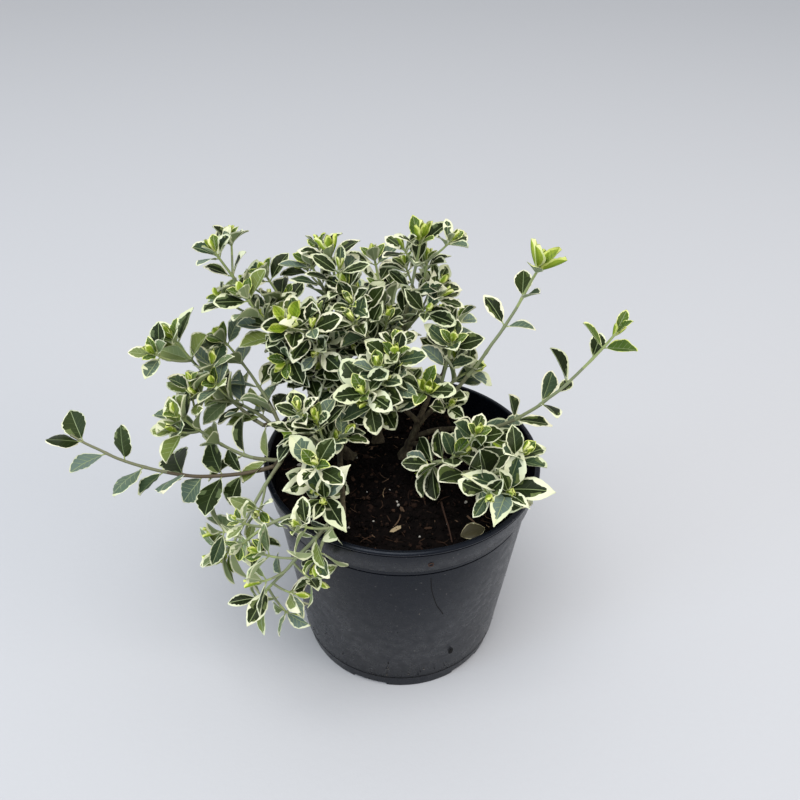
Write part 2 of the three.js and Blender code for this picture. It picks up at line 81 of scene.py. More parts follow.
# The pot's profile, from the middle of its underside round to the middle of its floor: points
# by their steps outwards and upwards from the corner that they belong to.
POT_PROFILE = [
    (0, 0, [(0.001, 0), (HUB_RADIUS, 0), (HUB_RADIUS + ROUNDING, FLOOR_UNDER)]),
    (FOOT_RADIUS - FOOT_WIDTH, 0, [(-ROUNDING, FLOOR_UNDER), (0, 0)]),
    (FOOT_RADIUS, 0, [(-0.4, 0), (0, 0.4)]),
    (FOOT_RADIUS, FOOT_LEDGE, [(1.5, -1.7), (0.4, -1.4), (0.4, -0.3)]),
    (WALL_FOOT_RADIUS, FOOT_LEDGE, [(-0.3, -0.3), (0, 0.1)]),
    (WALL_TOP_RADIUS, BAND_FOOT, [(-0.6, -5.9), (-1.45, -5.7), (-1.45, -5.1), (-0.6, -4.9)]),
    (WALL_TOP_RADIUS, BAND_FOOT, [(0, -1.2), (-0.9, -0.9), (-0.9, -0.1)]),
    (WALL_TOP_RADIUS + BAND_STEP, BAND_FOOT, [(-0.4, 0), (0, 0.5)]),
    (RIM_RADIUS, POT_HEIGHT, [(-0.5, -3.6), (-1.2, -3.3), (-1.2, -2.9), (-0.3, -2.5)]),
    (RIM_RADIUS, POT_HEIGHT, [(0, -1.6), (-0.3, -0.6), (-1.1, 0)]),
    (RIM_RADIUS - LIP_WIDTH, POT_HEIGHT, [(0.8, 0), (0, -0.7)]),
    (WALL_TOP_RADIUS - WALL, BAND_FOOT, [(0, 0)]),
    (0, FLOOR_UNDER + FLOOR, [(FOOT_RADIUS - WALL, 0), (0.001, 0)]),
]
CREASE_ANGLE = 32

# Soil
SOIL_HEIGHT = 143
SOIL_MOUND = 2.5
SOIL_WAVES = 1.2
SOIL_SETTLED = 0.3
SOIL_EDGE_GAP = 0.35
SOIL_SIDE_GAP = 0.45
SOIL_RINGS = 90
SOIL_SIDES = 260
SOIL_LUMPS = ((9, 0.7), (4.5, 0.6), (2.2, 0.45), (1.1, 0.25))

# Limbs, with their radii at the root and the tip
STEM_RADII = (3.6, 2.3)
STEM_FLARE = 1.6
FLARE_HEIGHT = 9
STEM_BOW = 1
BOUGH_RADII = (2.1, 1.5)
BOUGH_SPACING = 4.6
SHOOT_SPACING = 5.2
SHOOT_RADII = (1.4, 0.8)
TWIG_RADII = (0.9, 0.65)
TWIG_LENGTH = 24
TWIG_SCATTER = 0.6
TWIG_ANGLE = 48
TWIG_SAG = 0.08
TWIG_LEAF = 0.85

# Nodes and leaves
NODE_PITCH = 19
NODE_TWIST = 60
FIRST_NODE = 9
LEAF_LENGTH = 24
LEAF_SCATTER = 0.3
LEAF_WIDTH = 0.62
LEAF_ANGLE = 60
ANGLE_SCATTER = 14
LEAF_LIFT = 0.2
LEAF_FACING = 0.6
LIGHT = np.array([-0.15, -0.5, 0.85])
STEEP = 0.62
FLAT_TURN = 30
FALLEN = 0.06
HANGING_FALLEN = 0.25
ROSETTE_PAIRS = 2
ROSETTE_TWIST = 50
PAIR_TWIST = 20
BUD_LENGTH = 8

# How often a node of a loose shoot bears a fine twig, how much of a facing shoot's own direction
# is left in its rosette, and the kinds of leaves besides the usual one.
LOOSE_CHANCE = 0.3
FACING_SHARE = 0.3
STYLES = ("broad", "star", "thin", "plain")

# What sets the draws of chance() apart, and the steps between the seeds of twigs.
DRAW = {
    "turn": 1, "rosette": 3, "size": 5, "angle": 11, "length": 17, "fall": 23, "pair": 41,
    "pair_size": 43, "fine": 47, "fine_length": 53, "aside": 61,
}
TWIG_SEED = 31
FINE_TWIG_SEED = 101
REACHING_SEED = 907
FULL_SEED = 7

# The woody stems: foot and top by heading and reach from the pot's axis, and the top's height.
STEMS = {
    "stem_back": (118, 38, 116, 50, 182),
    "stem_right": (86, 18, 60, 22, 174),
    "stem_left": (158, 40, 168, 52, 170),
}

# The boughs of each stem: the heading, reach and height of the fork, and the bow upwards.
BOUGHS = {
    "stem_left": {
        "left": (197, 88, 170, 6),
        "left_back": (177, 95, 180, 5),
        "front": (218, 66, 184, 8),
        "front_left": (247, 88, 177, 5),
    },
    "stem_back": {
        "top_right": (91, 47, 232, 0),
        "top_left": (141, 64, 224, 2),
        "upper_left": (152, 84, 214, 4),
        "back_left": (134, 98, 190, 6),
        "back": (104, 92, 196, 6),
        "top": (106, 46, 222, 0),
    },
    "stem_right": {
        "middle": (130, 14, 204, 0),
        "right_high": (42, 37, 188, 2),
        "back_right": (66, 72, 184, 6),
        "right": (14, 52, 172, 5),
        "front_right": (322, 47, 168, 7),
    },
}

# The shoots of each bough: the tip's heading, reach and height, the bow upwards, the bow to
# the right, the number of side twigs, the size of the leaves, and what sets the shoot apart.
# An open one bears no more than its own pairs of leaves, a loose one few fine twigs and a full
# one more than the rest. A hanging one has lost more leaves and turns them every way. A pale one
# has many lighter leaves, partly their own paler green and partly painted light on the left-hand
# side, where the light falls most. The rosette of a facing one faces the light. The leaves have a
# broad, thin or plain (hardly any) cream margin, a star has pointed leaves at its tip too, and
# the rest have a narrow margin.
SHOOTS = {
    "left": {
        "left_far": (188, 221, 199, -12, -9, 0, 1.2, "open plain"),
        "left_middle": (184, 153, 203, -12, 2, 1, 1, "loose thin pale"),
        "left_hanging": (208, 134, 117, 16, -8, 2, 1.1, "open hanging thin pale"),
    },
    "left_back": {
        "left_upper": (172, 159, 244, -14, 6, 2, 1, "loose thin pale"),
        "left_inner": (171, 134, 195, 0, 4, 1, 1, "loose thin pale"),
        "left_high": (160, 138, 230, -4, 5, 1, 1, "loose thin pale"),
    },
    "front_left": {
        "front_left_low": (243, 117, 155, 4, 2, 1, 1.25, "open hanging"),
        "front_left_side": (221, 139, 158, 8, 4, 1, 1, "open hanging pale"),
        "front_left_hanging": (224, 133, 108, 16, -14, 2, 1, "open hanging thin pale"),
    },
    "front": {
        "front_centre": (240, 90, 177, 3, 0, 1, 1.25, "open facing star"),
        "front_middle": (196, 38, 208, 6, 2, 2, 1, "full"),
        "front_side": (188, 78, 192, 6, 0, 1, 1, "full"),
    },
    "upper_left": {
        "upper_left_tall": (158, 139, 293, -8, 4, 1, 1, ""),
        "upper_left_mid": (161, 116, 269, -2, -4, 1, 1, "pale"),
        "upper_left_back": (145, 121, 269, -3, 4, 1, 1, "loose"),
        "upper_left_front": (171, 84, 226, 6, 0, 1, 1, "full"),
    },
    "top_left": {
        "top_left_front": (171, 79, 257, 0, -4, 2, 1, "full facing broad"),
        "top_left_back": (133, 99, 279, 0, 4, 1, 1, ""),
        "top_left_tall": (128, 83, 289, 0, 2, 1, 1, ""),
    },
    "top": {
        "top_thin": (105, 87, 277, -6, 2, 0, 1, "open"),
        "top_middle": (132, 64, 272, 0, 0, 1, 1, "loose"),
        "top_front": (149, 42, 258, 0, 0, 2, 1, ""),
    },
    "top_right": {
        "top_tall": (76, 45, 309, 0, -2, 1, 1, "loose"),
        "top_tall_back": (74, 62, 285, 0, 4, 1, 1, "loose"),
        "top_right_side": (56, 51, 267, 4, 0, 1, 1, "loose"),
    },
    "middle": {
        "middle_high": (180, 5, 247, 0, 0, 2, 1, "full"),
        "middle_right": (331, 25, 222, 4, 0, 1, 1, "facing broad"),
        "middle_front": (217, 36, 227, 4, 0, 1, 1.15, "full facing broad"),
    },
    "right_high": {
        "right_tall": (12, 88, 302, -8, 4, 0, 1.1, "open"),
        "right_inner": (34, 40, 246, 0, -3, 1, 1, "loose"),
        "right_edge": (34, 64, 214, 4, -2, 1, 1, "loose"),
    },
    "right": {
        "right_far": (357, 135, 270, -14, 4, 0, 1.15, "open"),
        "right_low": (350, 66, 178, 5, 0, 0, 1, ""),
    },
    "front_right": {
        "front_right_tip": (315, 101, 186, 8, 0, 1, 1.3, "facing star"),
        "front_low": (300, 20, 164, 6, 0, 0, 1, ""),
        "front_right_inner": (334, 46, 184, 2, 0, 1, 1, ""),
    },
    "back_right": {
        "back_right_tip": (66, 106, 222, 4, 0, 1, 1, "loose"),
    },
    "back": {
        "back_middle": (92, 128, 232, 2, 4, 1, 1, "loose"),
        "back_low": (108, 136, 200, 6, -4, 1, 1, ""),
    },
    "back_left": {
        "back_left_tip": (130, 148, 218, 2, 4, 1, 1, ""),
    },
}

# Shoots whose leaves are wider or narrower than the rest, as a share of their length.
WIDE = {
    "left_far": 0.86, "right_far": 0.52, "left_hanging": 0.52, "front_left_side": 0.5,
    "front_left_hanging": 0.46, "top_tall": 0.52, "top_tall_back": 0.52, "top_middle": 0.54,
    "top_front": 0.56, "top_left_tall": 0.5, "top_left_back": 0.52, "top_right_side": 0.54,
    "top_thin": 0.5, "upper_left_tall": 0.54, "back_middle": 0.54,
}

# Shoots whose leaves are larger or smaller than the solids'.
LEAF_SCALE = {
    "left_upper": 1.12, "left_middle": 1.1, "left_inner": 1.05,
    "front_left_low": 0.74, "front_left_side": 0.75, "right_far": 0.88, "right_tall": 0.92,
}

# Shoots that have shed the leaves on the first part of their length.
BARE = {
    "right_tall": 0.45, "right_far": 0.2, "left_far": 0.1, "front_left_side": 0.62,
    "front_left_hanging": 0.25, "left_hanging": 0.6,
}

# Twigs that hang out from two of the shoots: how far along, which way, and how long.
REACHING = {
    "left_hanging": [(0.7, (-1.0, -0.2, -0.3), 17), (0.88, (-0.75, -0.3, -0.6), 14)],
    "front_left_hanging": [
        (0.5, (0.75, -0.3, -0.6), 17), (0.75, (0.9, -0.2, -0.4), 15), (0.6, (-0.8, -0.2, -0.3), 16),
    ],
}

# Boughs that bear short leafy spurs.
SPURRED = {"top_left", "upper_left", "top", "middle", "right_high", "top_right", "back_left", "front"}

# Boughs with more such spurs on the side that faces forwards and down.
APRONED = {"upper_left", "back_left", "top_left"}

# Open shoots that still bear some smaller leaves between their nodes, with their chance.
LEAFY = {"right_far": 0.3, "left_far": 0.5}

# The pieces that the foliage is joined into, by bough.
GROUPS = {
    "left": ["left", "left_back"],
    "front_left": ["front_left", "front"],
    "upper_left": ["upper_left"],
    "top_left": ["top_left"],
    "top": ["top", "top_right"],
    "middle": ["middle"],
    "right": ["right_high", "right", "front_right"],
    "back": ["back_right", "back", "back_left"],
}

# The pairs of leaves at a tip, the outer first: share of the leaf length, angle from the twig,
# quarter turns from the outer pair, distance back from the tip, and age.
ROSETTE = [
    (1.0, 64, 0, 5.2, "old"),
    (0.84, 54, 1, 3.6, "old"),
    (0.6, 38, 0, 2.2, "fresh"),
    (0.48, 20, 1, 1.0, "young"),
    (0.36, 8, 0, 0.2, "young"),
]
FINE_ROSETTE = [
    (1.0, 66, 0, 3.8, "old"),
    (0.8, 52, 1, 2.4, "old"),
    (0.5, 20, 0, 0.9, "young"),
    (0.34, 8, 1, 0.2, "young"),
]
LUSH_ROSETTE = [
    (1.0, 64, 0, 5.2, "old"),
    (0.8, 54, 1, 3.6, "fresh"),
    (0.68, 42, 0, 2.4, "young"),
    (0.58, 24, 1, 1.2, "young"),
    (0.42, 8, 0, 0.2, "young"),
]
STAR_ROSETTE = [
    (1.0, 68, 0, 5.2, "old"),
    (0.96, 60, 1, 3.6, "old"),
    (0.66, 44, 0.5, 2.4, "old"),
    (0.36, 18, 1, 0.8, "young"),
    (0.3, 8, 0, 0.2, "young"),
]
BARE_TIP = [(0.78, 34, 0.1, 9.0, "old")]
RIGHT_FAR_TIP = [
    (0.95, 70, 0.4, 13.0, "fresh"),
    (0.7, 24, 1.4, 1.6, "fresh"),
    (0.4, 40, 0.4, 3.0, "young"),
]
RIGHT_TALL_TIP = [
    (0.8, 66, 0, 4.0, "fresh"),
    (0.84, 56, 1, 2.0, "young"),
    (0.76, 44, 0.3, 1.2, "young"),
    (0.5, 22, 1.2, 0.3, "young"),
]
FLAT_LIME_TIP = [
    (1.0, 72, 0, 5.2, "old"),
    (0.9, 66, 1, 3.6, "old"),
    (0.8, 66, 0.5, 1.6, "young"),
    (0.76, 60, 1.5, 1.0, "young"),
    (0.5, 34, 1, 0.3, "young"),
]

# Shoots that end in something else than the usual rosette.
TIPS = {
    "left_far": BARE_TIP,
    "right_far": RIGHT_FAR_TIP,
    "right_tall": RIGHT_TALL_TIP,
    "front_centre": STAR_ROSETTE,
    "front_right_tip": STAR_ROSETTE,
    "top_tall": LUSH_ROSETTE,
    "top_left_tall": LUSH_ROSETTE,
    "top_left_front": FLAT_LIME_TIP,
    "middle_right": LUSH_ROSETTE,
}


def chance(a, b, c):
    """A number from 0 to 1 that depends only on the three given."""
    wave = math.sin(a * 12.9898 + b * 78.233 + c * 37.719) * 43758.5453
    return wave - math.floor(wave)


def unit(v):
    return v / np.linalg.norm(v)


def polar(heading, reach, height):
    angle = math.radians(heading)
    return np.array([reach * math.cos(angle), reach * math.sin(angle), height])


def turning(heading):
    """The matrix that turns rows of points about the vertical by a heading."""
    angle = math.radians(heading)
    sine, cosine = math.sin(angle), math.cos(angle)
    return np.array([[cosine, sine, 0], [-sine, cosine, 0], [0, 0, 1]])


def round_turn(count):
    """Equal steps of a whole turn, as angles."""
    return np.arange(count) * 2 * math.pi / count


class Curve:
    """A curve between two points that bows upwards by lift and sideways by swing."""

    STEPS = 80

    def __init__(self, start, end, lift=0, swing=0):
        side = unit(np.cross(end - start, UP))
        middle = (start + end) / 2 + 2 * lift * UP + 2 * swing * side
        t = np.linspace(0, 1, self.STEPS + 1)[:, None]
        self.points = (1 - t) ** 2 * start + 2 * t * (1 - t) * middle + t * t * end
        self.tangents = 2 * (1 - t) * (middle - start) + 2 * t * (end - middle)
        self.tangents /= np.linalg.norm(self.tangents, axis=1)[:, None]
        steps = np.linalg.norm(np.diff(self.points, axis=0), axis=1)
        self.along = np.concatenate([[0], np.cumsum(steps)])
        self.length = self.along[-1]

    def at(self, share):
        """The point and the direction at a share of the length."""
        s = min(max(share, 0), 1) * self.length
        point = np.array([np.interp(s, self.along, self.points[:, i]) for i in range(3)])
        tangent = np.array([np.interp(s, self.along, self.tangents[:, i]) for i in range(3)])
        return point, unit(tangent)


def soil_top(x, y):
    """The smooth height of the soil at a point, without its crumbs."""
    share = np.minimum(1, np.hypot(x, y) / inner_radius(SOIL_HEIGHT))
    waves = np.sin(x * 0.15) * np.cos(y * 0.11) + np.sin((x - y) * 0.17) / 2
    return SOIL_HEIGHT + (SOIL_MOUND + SOIL_WAVES * waves) * (1 - share * share)


def inner_radius(height):
    """The radius of the inside of the pot's wall."""
    floor_top = FLOOR_UNDER + FLOOR + ROUNDING
    share = (height - floor_top) / (BAND_FOOT - floor_top)
    return FOOT_RADIUS + (WALL_TOP_RADIUS - FOOT_RADIUS) * share - WALL


# Meshes


class Batch:
    """Collects vertices and faces of many small parts, and makes one object of them."""

    def __init__(self):
        self.verts = []
        self.faces = []
        self.count = 0

    def add(self, verts, faces, mats):
        """verts is (n, 3) in millimetres, faces a list of index arrays, mats one array each."""
        for face, mat in zip(faces, mats):
            mat = np.broadcast_to(np.asarray(mat, dtype=np.int32), (len(face),))
            self.faces.append((np.asarray(face) + self.count, mat))
        self.verts.append(verts)
        self.count += len(verts)

    def object(self, name, materials, smooth=True):
        verts = np.concatenate(self.verts) * MM
        sides = np.concatenate([np.full(len(f), f.shape[1]) for f, _ in self.faces])
        loops = np.concatenate([f.ravel() for f, _ in self.faces])
        mats = np.concatenate([m for _, m in self.faces])
        mesh = bpy.data.meshes.new(name)
        mesh.vertices.add(len(verts))
        mesh.vertices.foreach_set("co", verts.astype(np.float32).ravel())
        mesh.loops.add(len(loops))
        mesh.loops.foreach_set("vertex_index", loops.astype(np.int32))
        mesh.polygons.add(len(sides))
        starts = np.concatenate([[0], np.cumsum(sides)[:-1]])
        mesh.polygons.foreach_set("loop_start", starts.astype(np.int32))
        mesh.polygons.foreach_set("loop_total", sides.astype(np.int32))
        for material in materials:
            mesh.materials.append(material)
        mesh.polygons.foreach_set("material_index", mats.astype(np.int32))
        mesh.polygons.foreach_set("use_smooth", np.full(len(sides), smooth))
        mesh.update(calc_edges=True)
        mesh.validate()
        ob = bpy.data.objects.new(name, mesh)
        bpy.context.scene.collection.objects.link(ob)
        return ob


def grid_faces(rows, columns, closed=False):
    """The quads of a grid of vertices, row by row; closed joins the last column to the first."""
    spans = columns if closed else columns - 1
    r, c = (places.ravel() for places in np.meshgrid(np.arange(rows - 1), np.arange(spans), indexing="ij"))
    d = (c + 1) % columns
    return np.stack([r * columns + c, r * columns + d, (r + 1) * columns + d, (r + 1) * columns + c], 1)


def ring_grid(radii, sides):
    """x and y of the points of rings about the pot's axis, by row."""
    angle = round_turn(sides)
    return np.outer(radii, np.cos(angle)), np.outer(radii, np.sin(angle))


def add_rings(batch, rows, flipped=False):
    """Rings of points joined by quads, with a flat face at either end."""
    count, sides = rows.shape[:2]
    ends = np.arange(sides)[::-1], np.arange(sides) + (count - 1) * sides
    faces = [grid_faces(count, sides, closed=True), ends[0][None], ends[1][None]]
    if flipped:
        faces = [face[:, ::-1] for face in faces]
    batch.add(rows.reshape(-1, 3), faces, [0, 0, 0])


def frames_along(tangents):
    """Two directions across a path at each of its points, without twist."""
    first = np.cross(tangents[0], UP)
    if np.linalg.norm(first) < 0.05:
        first = np.array([1.0, 0, 0])
    sides = [unit(first)]
    for tangent in tangents[1:]:
        side = sides[-1] - tangent * (sides[-1] @ tangent)
        sides.append(unit(side))
    sides = np.array(sides)
    return sides, np.cross(tangents, sides)


def tube(batch, points, radii, sides, mats, relief=None):
    """A closed tube along points. relief(angle, ring) is added to the radius as a share."""
    points = np.asarray(points, dtype=float)
    tangents = np.gradient(points, axis=0)
    tangents /= np.linalg.norm(tangents, axis=1)[:, None]
    across, over = frames_along(tangents)
    angle = round_turn(sides)
    radius = np.asarray(radii, dtype=float)[:, None] * np.ones(sides)
    if relief is not None:
        radius = radius * (1 + relief(angle[None, :], np.arange(len(points))[:, None]))
    rings = (
        points[:, None]
        + (radius * np.cos(angle))[:, :, None] * across[:, None]
        + (radius * np.sin(angle))[:, :, None] * over[:, None]
    )
    verts = np.concatenate([rings.reshape(-1, 3), points[:1], points[-1:]])
    quads = grid_faces(len(points), sides, closed=True)
    i = np.arange(sides)
    j = (i + 1) % sides
    last = (len(points) - 1) * sides
    foot = np.stack([j, i, np.full(sides, len(verts) - 2)], 1)
    top = np.stack([last + i, last + j, np.full(sides, len(verts) - 1)], 1)
    mats = np.asarray(mats)
    ring_mats = np.repeat(mats[:-1], sides) if mats.ndim else mats
    ends = (mats[0], mats[-1]) if mats.ndim else (mats, mats)
    batch.add(verts, [quads, foot, top], [ring_mats, ends[0], ends[1]])


# Corners and faces of a unit cube, and of a grain with twenty faces.
CUBE_VERTS = np.array([[x, y, z] for x in (-0.5, 0.5) for y in (-0.5, 0.5) for z in (-0.5, 0.5)])
CUBE_FACES = np.array(
    [[0, 1, 3, 2], [4, 6, 7, 5], [0, 4, 5, 1], [2, 3, 7, 6], [0, 2, 6, 4], [1, 5, 7, 3]]
)
ICO = (1 + math.sqrt(5)) / 2
ICO_VERTS = np.array(
    [
        (-1, ICO, 0), (1, ICO, 0), (-1, -ICO, 0), (1, -ICO, 0), (0, -1, ICO), (0, 1, ICO),
        (0, -1, -ICO), (0, 1, -ICO), (ICO, 0, -1), (ICO, 0, 1), (-ICO, 0, -1), (-ICO, 0, 1),
    ]
) / math.hypot(1, ICO)
ICO_FACES = np.array(
    [
        (0, 11, 5), (0, 5, 1), (0, 1, 7), (0, 7, 10), (0, 10, 11), (1, 5, 9), (5, 11, 4),
        (11, 10, 2), (10, 7, 6), (7, 1, 8), (3, 9, 4), (3, 4, 2), (3, 2, 6), (3, 6, 8),
        (3, 8, 9), (4, 9, 5), (2, 4, 11), (6, 2, 10), (8, 6, 7), (9, 8, 1),
    ]
)


def grain(rnd, low, high):
    """The corners of a grain, each at its own share of the radius."""
    return ICO_VERTS * rnd.uniform(low, high, (len(ICO_VERTS), 1))


# Materials


def linear(r, g, b):
    """A colour given as 0 to 255 on a screen, as the shader wants it."""
    values = [c / 255 for c in (r, g, b)]
    return [c / 12.92 if c <= 0.04045 else ((c + 0.055) / 1.055) ** 2.4 for c in values] + [1]


def new_material(name, colour, roughness, specular=0.5):
    material = bpy.data.materials.new(name)
    material.use_nodes = True
    shader = material.node_tree.nodes["Principled BSDF"]
    shader.inputs["Base Color"].default_value = linear(*colour)
    shader.inputs["Roughness"].default_value = roughness
    shader.inputs["Specular IOR Level"].default_value = specular
    return material, material.node_tree, shader


def add_node(tree, kind, **inputs):
    """A shader node; each of its inputs is given a value, or the socket that feeds it."""
    node = tree.nodes.new(f"ShaderNode{kind}")
    for name, value in inputs.items():
        socket = node.inputs[name.replace("_", " ")]
        if isinstance(value, bpy.types.NodeSocket):
            tree.links.new(value, socket)
        else:
            socket.default_value = value
    return node


def link_bump(tree, shader, height, strength, distance):
    bump = add_node(tree, "Bump", Strength=strength, Distance=distance, Height=height)
    tree.links.new(bump.outputs["Normal"], shader.inputs["Normal"])


def noise(tree, scale, detail=4, roughness=0.6, stretch=None):
    source = add_node(tree, "TexCoord").outputs["Object"]
    if stretch is not None:
        source = add_node(tree, "Mapping", Vector=source, Scale=stretch).outputs["Vector"]
    node = add_node(tree, "TexNoise", Vector=source, Scale=scale, Detail=detail, Roughness=roughness)
    return node.outputs["Fac"]


def ramp(tree, factor, stops):
    """A colour ramp; stops are (place, colour)."""
    node = add_node(tree, "ValToRGB", Fac=factor)
    while len(node.color_ramp.elements) < len(stops):
        node.color_ramp.elements.new(0.5)
    for element, (place, colour) in zip(node.color_ramp.elements, stops):
        element.position = place
        element.color = linear(*colour)
    return node.outputs["Color"]


def value_ramp(tree, factor, low, high, out_low, out_high):
    """The factor, with its range from low to high spread from out_low to out_high."""
    ends = {"From_Min": low, "From_Max": high, "To_Min": out_low, "To_Max": out_high}
    return add_node(tree, "MapRange", Value=factor, **ends).outputs["Result"]


def coloured_set(prefix, colours, roughness, specular, texture=None, strength=0, distance=0):
    """One material for each colour of a table, with a fine bump if a texture is given."""
    materials = []
    for name, colour in colours.items():
        material, tree, shader = new_material(f"{prefix}_{name}", colour, roughness, specular)
        if texture:
            link_bump(tree, shader, noise(tree, **texture), strength, distance)
        materials.append(material)
    return materials


# The colours of the leaves, by where they lie on a leaf and how old it is.
LEAF_COLOURS = {
    "dark": [(30, 41, 14), (42, 54, 21), (26, 36, 14), (38, 49, 22), (52, 69, 47)],
    "vein": [(58, 70, 38), (68, 80, 44), (54, 66, 38), (66, 78, 48), (84, 102, 76)],
    # The sheen greens are painted: blue-grey tones that stand in for the sky's reflection on glossy
    # leaves.
    "painted_sheen": [(96, 113, 103), (86, 103, 86)],
    # The light greens are partly the leaves' own paler tone and partly painted light, for the left-hand
    # shoots where the light falls most.
    "light": [(100, 115, 54), (112, 126, 64), (118, 131, 80), (108, 125, 88)],
    "mid": [(78, 91, 46), (92, 104, 60), (84, 97, 62)],
    "rib": [(116, 130, 88), (132, 144, 104)],
    "pale_rib": [(146, 158, 112), (154, 165, 124)],
    "cream": [(221, 220, 193), (213, 216, 185), (203, 208, 173)],
    "fresh": [(66, 90, 30), (80, 102, 36)],
    "sprout": [(124, 148, 42), (138, 160, 50)],
    "lime": [(144, 165, 50), (162, 180, 64)],
    "lime_edge": [(204, 213, 118), (222, 227, 156)],
    "under": [(124, 138, 98), (142, 155, 116)],
    "under_rib": [(158, 169, 130), (170, 180, 144)],
    "under_edge": [(204, 208, 176)],
    "wilted": [(66, 62, 44)],
    "wilted_edge": [(164, 156, 124)],
}
LEAF_TEXTURE = {"scale": 500}


def make_leaf_materials():
    """One material for each leaf colour, and the places of each zone's colours in the list."""
    materials, index = [], {}
    for zone, colours in LEAF_COLOURS.items():
        roughness = 0.6 if zone.startswith("under") else 0.42
        named = dict(enumerate(colours))
        zone_set = coloured_set(f"leaf_{zone}", named, roughness, 0.12, LEAF_TEXTURE, 0.3, 0.0004)
        index[zone] = list(range(len(materials), len(materials) + len(zone_set)))
        materials += zone_set
    return materials, index


STEM_COLOURS = {
    "wood": (84, 74, 58),
    "grey": (110, 112, 86),
    "green": (126, 134, 100),
    "fresh": (146, 158, 104),
}
STEM_TEXTURE = {"scale": 900, "detail": 3, "stretch": (1, 1, 0.4)}


def make_stem_materials():
    return coloured_set("stem", STEM_COLOURS, 0.6, 0.3, STEM_TEXTURE, 0.3, 0.0004)


def make_bark_material():
    material, tree, shader = new_material("bark", (104, 92, 70), 0.85, 0.2)
    fine = noise(tree, 420, 5, 0.7, (1, 1, 0.35))
    # The bark's dark browns are partly its own colour and partly painted shade, as the stems stand in the
    # shadow of the foliage.
    colour = ramp(tree, fine, [(0.25, (36, 30, 24)), (0.5, (66, 58, 45)), (0.75, (98, 92, 72))])
    tree.links.new(colour, shader.inputs["Base Color"])
    link_bump(tree, shader, fine, 0.6, 0.0006)
    return material


def make_pot_material():
    """Nearly black plastic with specks of dust; the blue tint of its base colour is painted reflection of
    the pale floor and sky.
    """
    material, tree, shader = new_material("pot_plastic", (10, 11, 15), 0.3, 0.19)
    shader.inputs["Specular Tint"].default_value = (0.78, 0.87, 1.0, 1)
    # The blue of these base colours is painted reflection of the pale floor and sky on the nearly black
    # plastic.
    plain = ramp(tree, noise(tree, 14), [(0.3, (4, 6, 13)), (0.7, (8, 11, 20))])
    specks = value_ramp(tree, noise(tree, 420, 2, 0.5), 0.7, 0.78, 0, 0.7)
    dusty = tree.nodes.new("ShaderNodeMix")
    dusty.data_type = "RGBA"
    factor, clean, dust = (dusty.inputs[i] for i in (0, 6, 7))
    dust.default_value = linear(96, 94, 92)
    tree.links.new(specks, factor)
    tree.links.new(plain, clean)
    tree.links.new(dusty.outputs[2], shader.inputs["Base Color"])
    gloss = value_ramp(tree, noise(tree, 160, 6, 0.7), 0.3, 0.7, 0.2, 0.4)
    tree.links.new(gloss, shader.inputs["Roughness"])
    link_bump(tree, shader, noise(tree, 600, 3), 0.12, 0.0003)
    return material


def make_soil_material():
    material, tree, shader = new_material("soil_peat", (34, 25, 20), 0.95, 0.06)
    lumps = noise(tree, 260, 8, 0.72)
    stops = [(0.3, (6, 5, 5)), (0.55, (14, 10, 9)), (0.7, (28, 20, 17)), (0.85, (50, 38, 32))]
    tree.links.new(ramp(tree, lumps, stops), shader.inputs["Base Color"])
    link_bump(tree, shader, lumps, 0.8, 0.0012)
    return material


# The growth rule


def fork_point(parent, sister, spacing):
    """Where a limb leaves its parent: the first at the tip, its sisters further down."""
    return parent.at(1 - sister * spacing / parent.length)[0]


class Leaf:
    """A leaf by its foot, the ways that it points and faces, its length and its age."""

    def __init__(self, point, tangent, azimuth, angle, length, age="old"):
        turn, tilt = math.radians(azimuth), math.radians(angle)
        side = np.cross(tangent, UP)
        side = unit(side) if np.linalg.norm(side) > 1e-6 else np.array([1.0, 0, 0])
        over = np.cross(side, tangent)
        radial = math.cos(turn) * side + math.sin(turn) * over
        self.base = point
        self.along = unit(math.cos(tilt) * tangent + math.sin(tilt) * radial + LEAF_LIFT * UP)
        face = LEAF_FACING * tangent + LIGHT
        if age == "young":
            face = -radial
        self.face = unit(face - self.along * (face @ self.along))
        self.length = length
        self.age = age
        self.width = LEAF_WIDTH
        self.hangs = False
        self.at_tip = False


def rosette(seed, curve, length, pairs=ROSETTE, facing=False):
    """The pairs of leaves that end a shoot or twig, where the solids have two.

    A rosette that faces the light spreads across it, whichever way its shoot points.
    """
    leaves = []
    turn = ROSETTE_TWIST * chance(seed, ROSETTE_PAIRS, DRAW["rosette"])
    for pair, (size, angle, quarter, back, age) in enumerate(pairs):
        point, tangent = curve.at(1 - back / curve.length)
        if facing:
            tangent = unit(FACING_SHARE * tangent + LIGHT)
        for half in (0, 180):
            azimuth = 90 * quarter + turn + half + PAIR_TWIST * chance(seed, pair, half)
            leaves.append(Leaf(point, tangent, azimuth, angle, size * length, age))
    return leaves


def node_turn(tangent, node):
    """Steep shoots bear each pair across the one before, level ones bear them in a plane."""
    return 90 * node if tangent[2] > STEEP else FLAT_TURN * (node % 2)


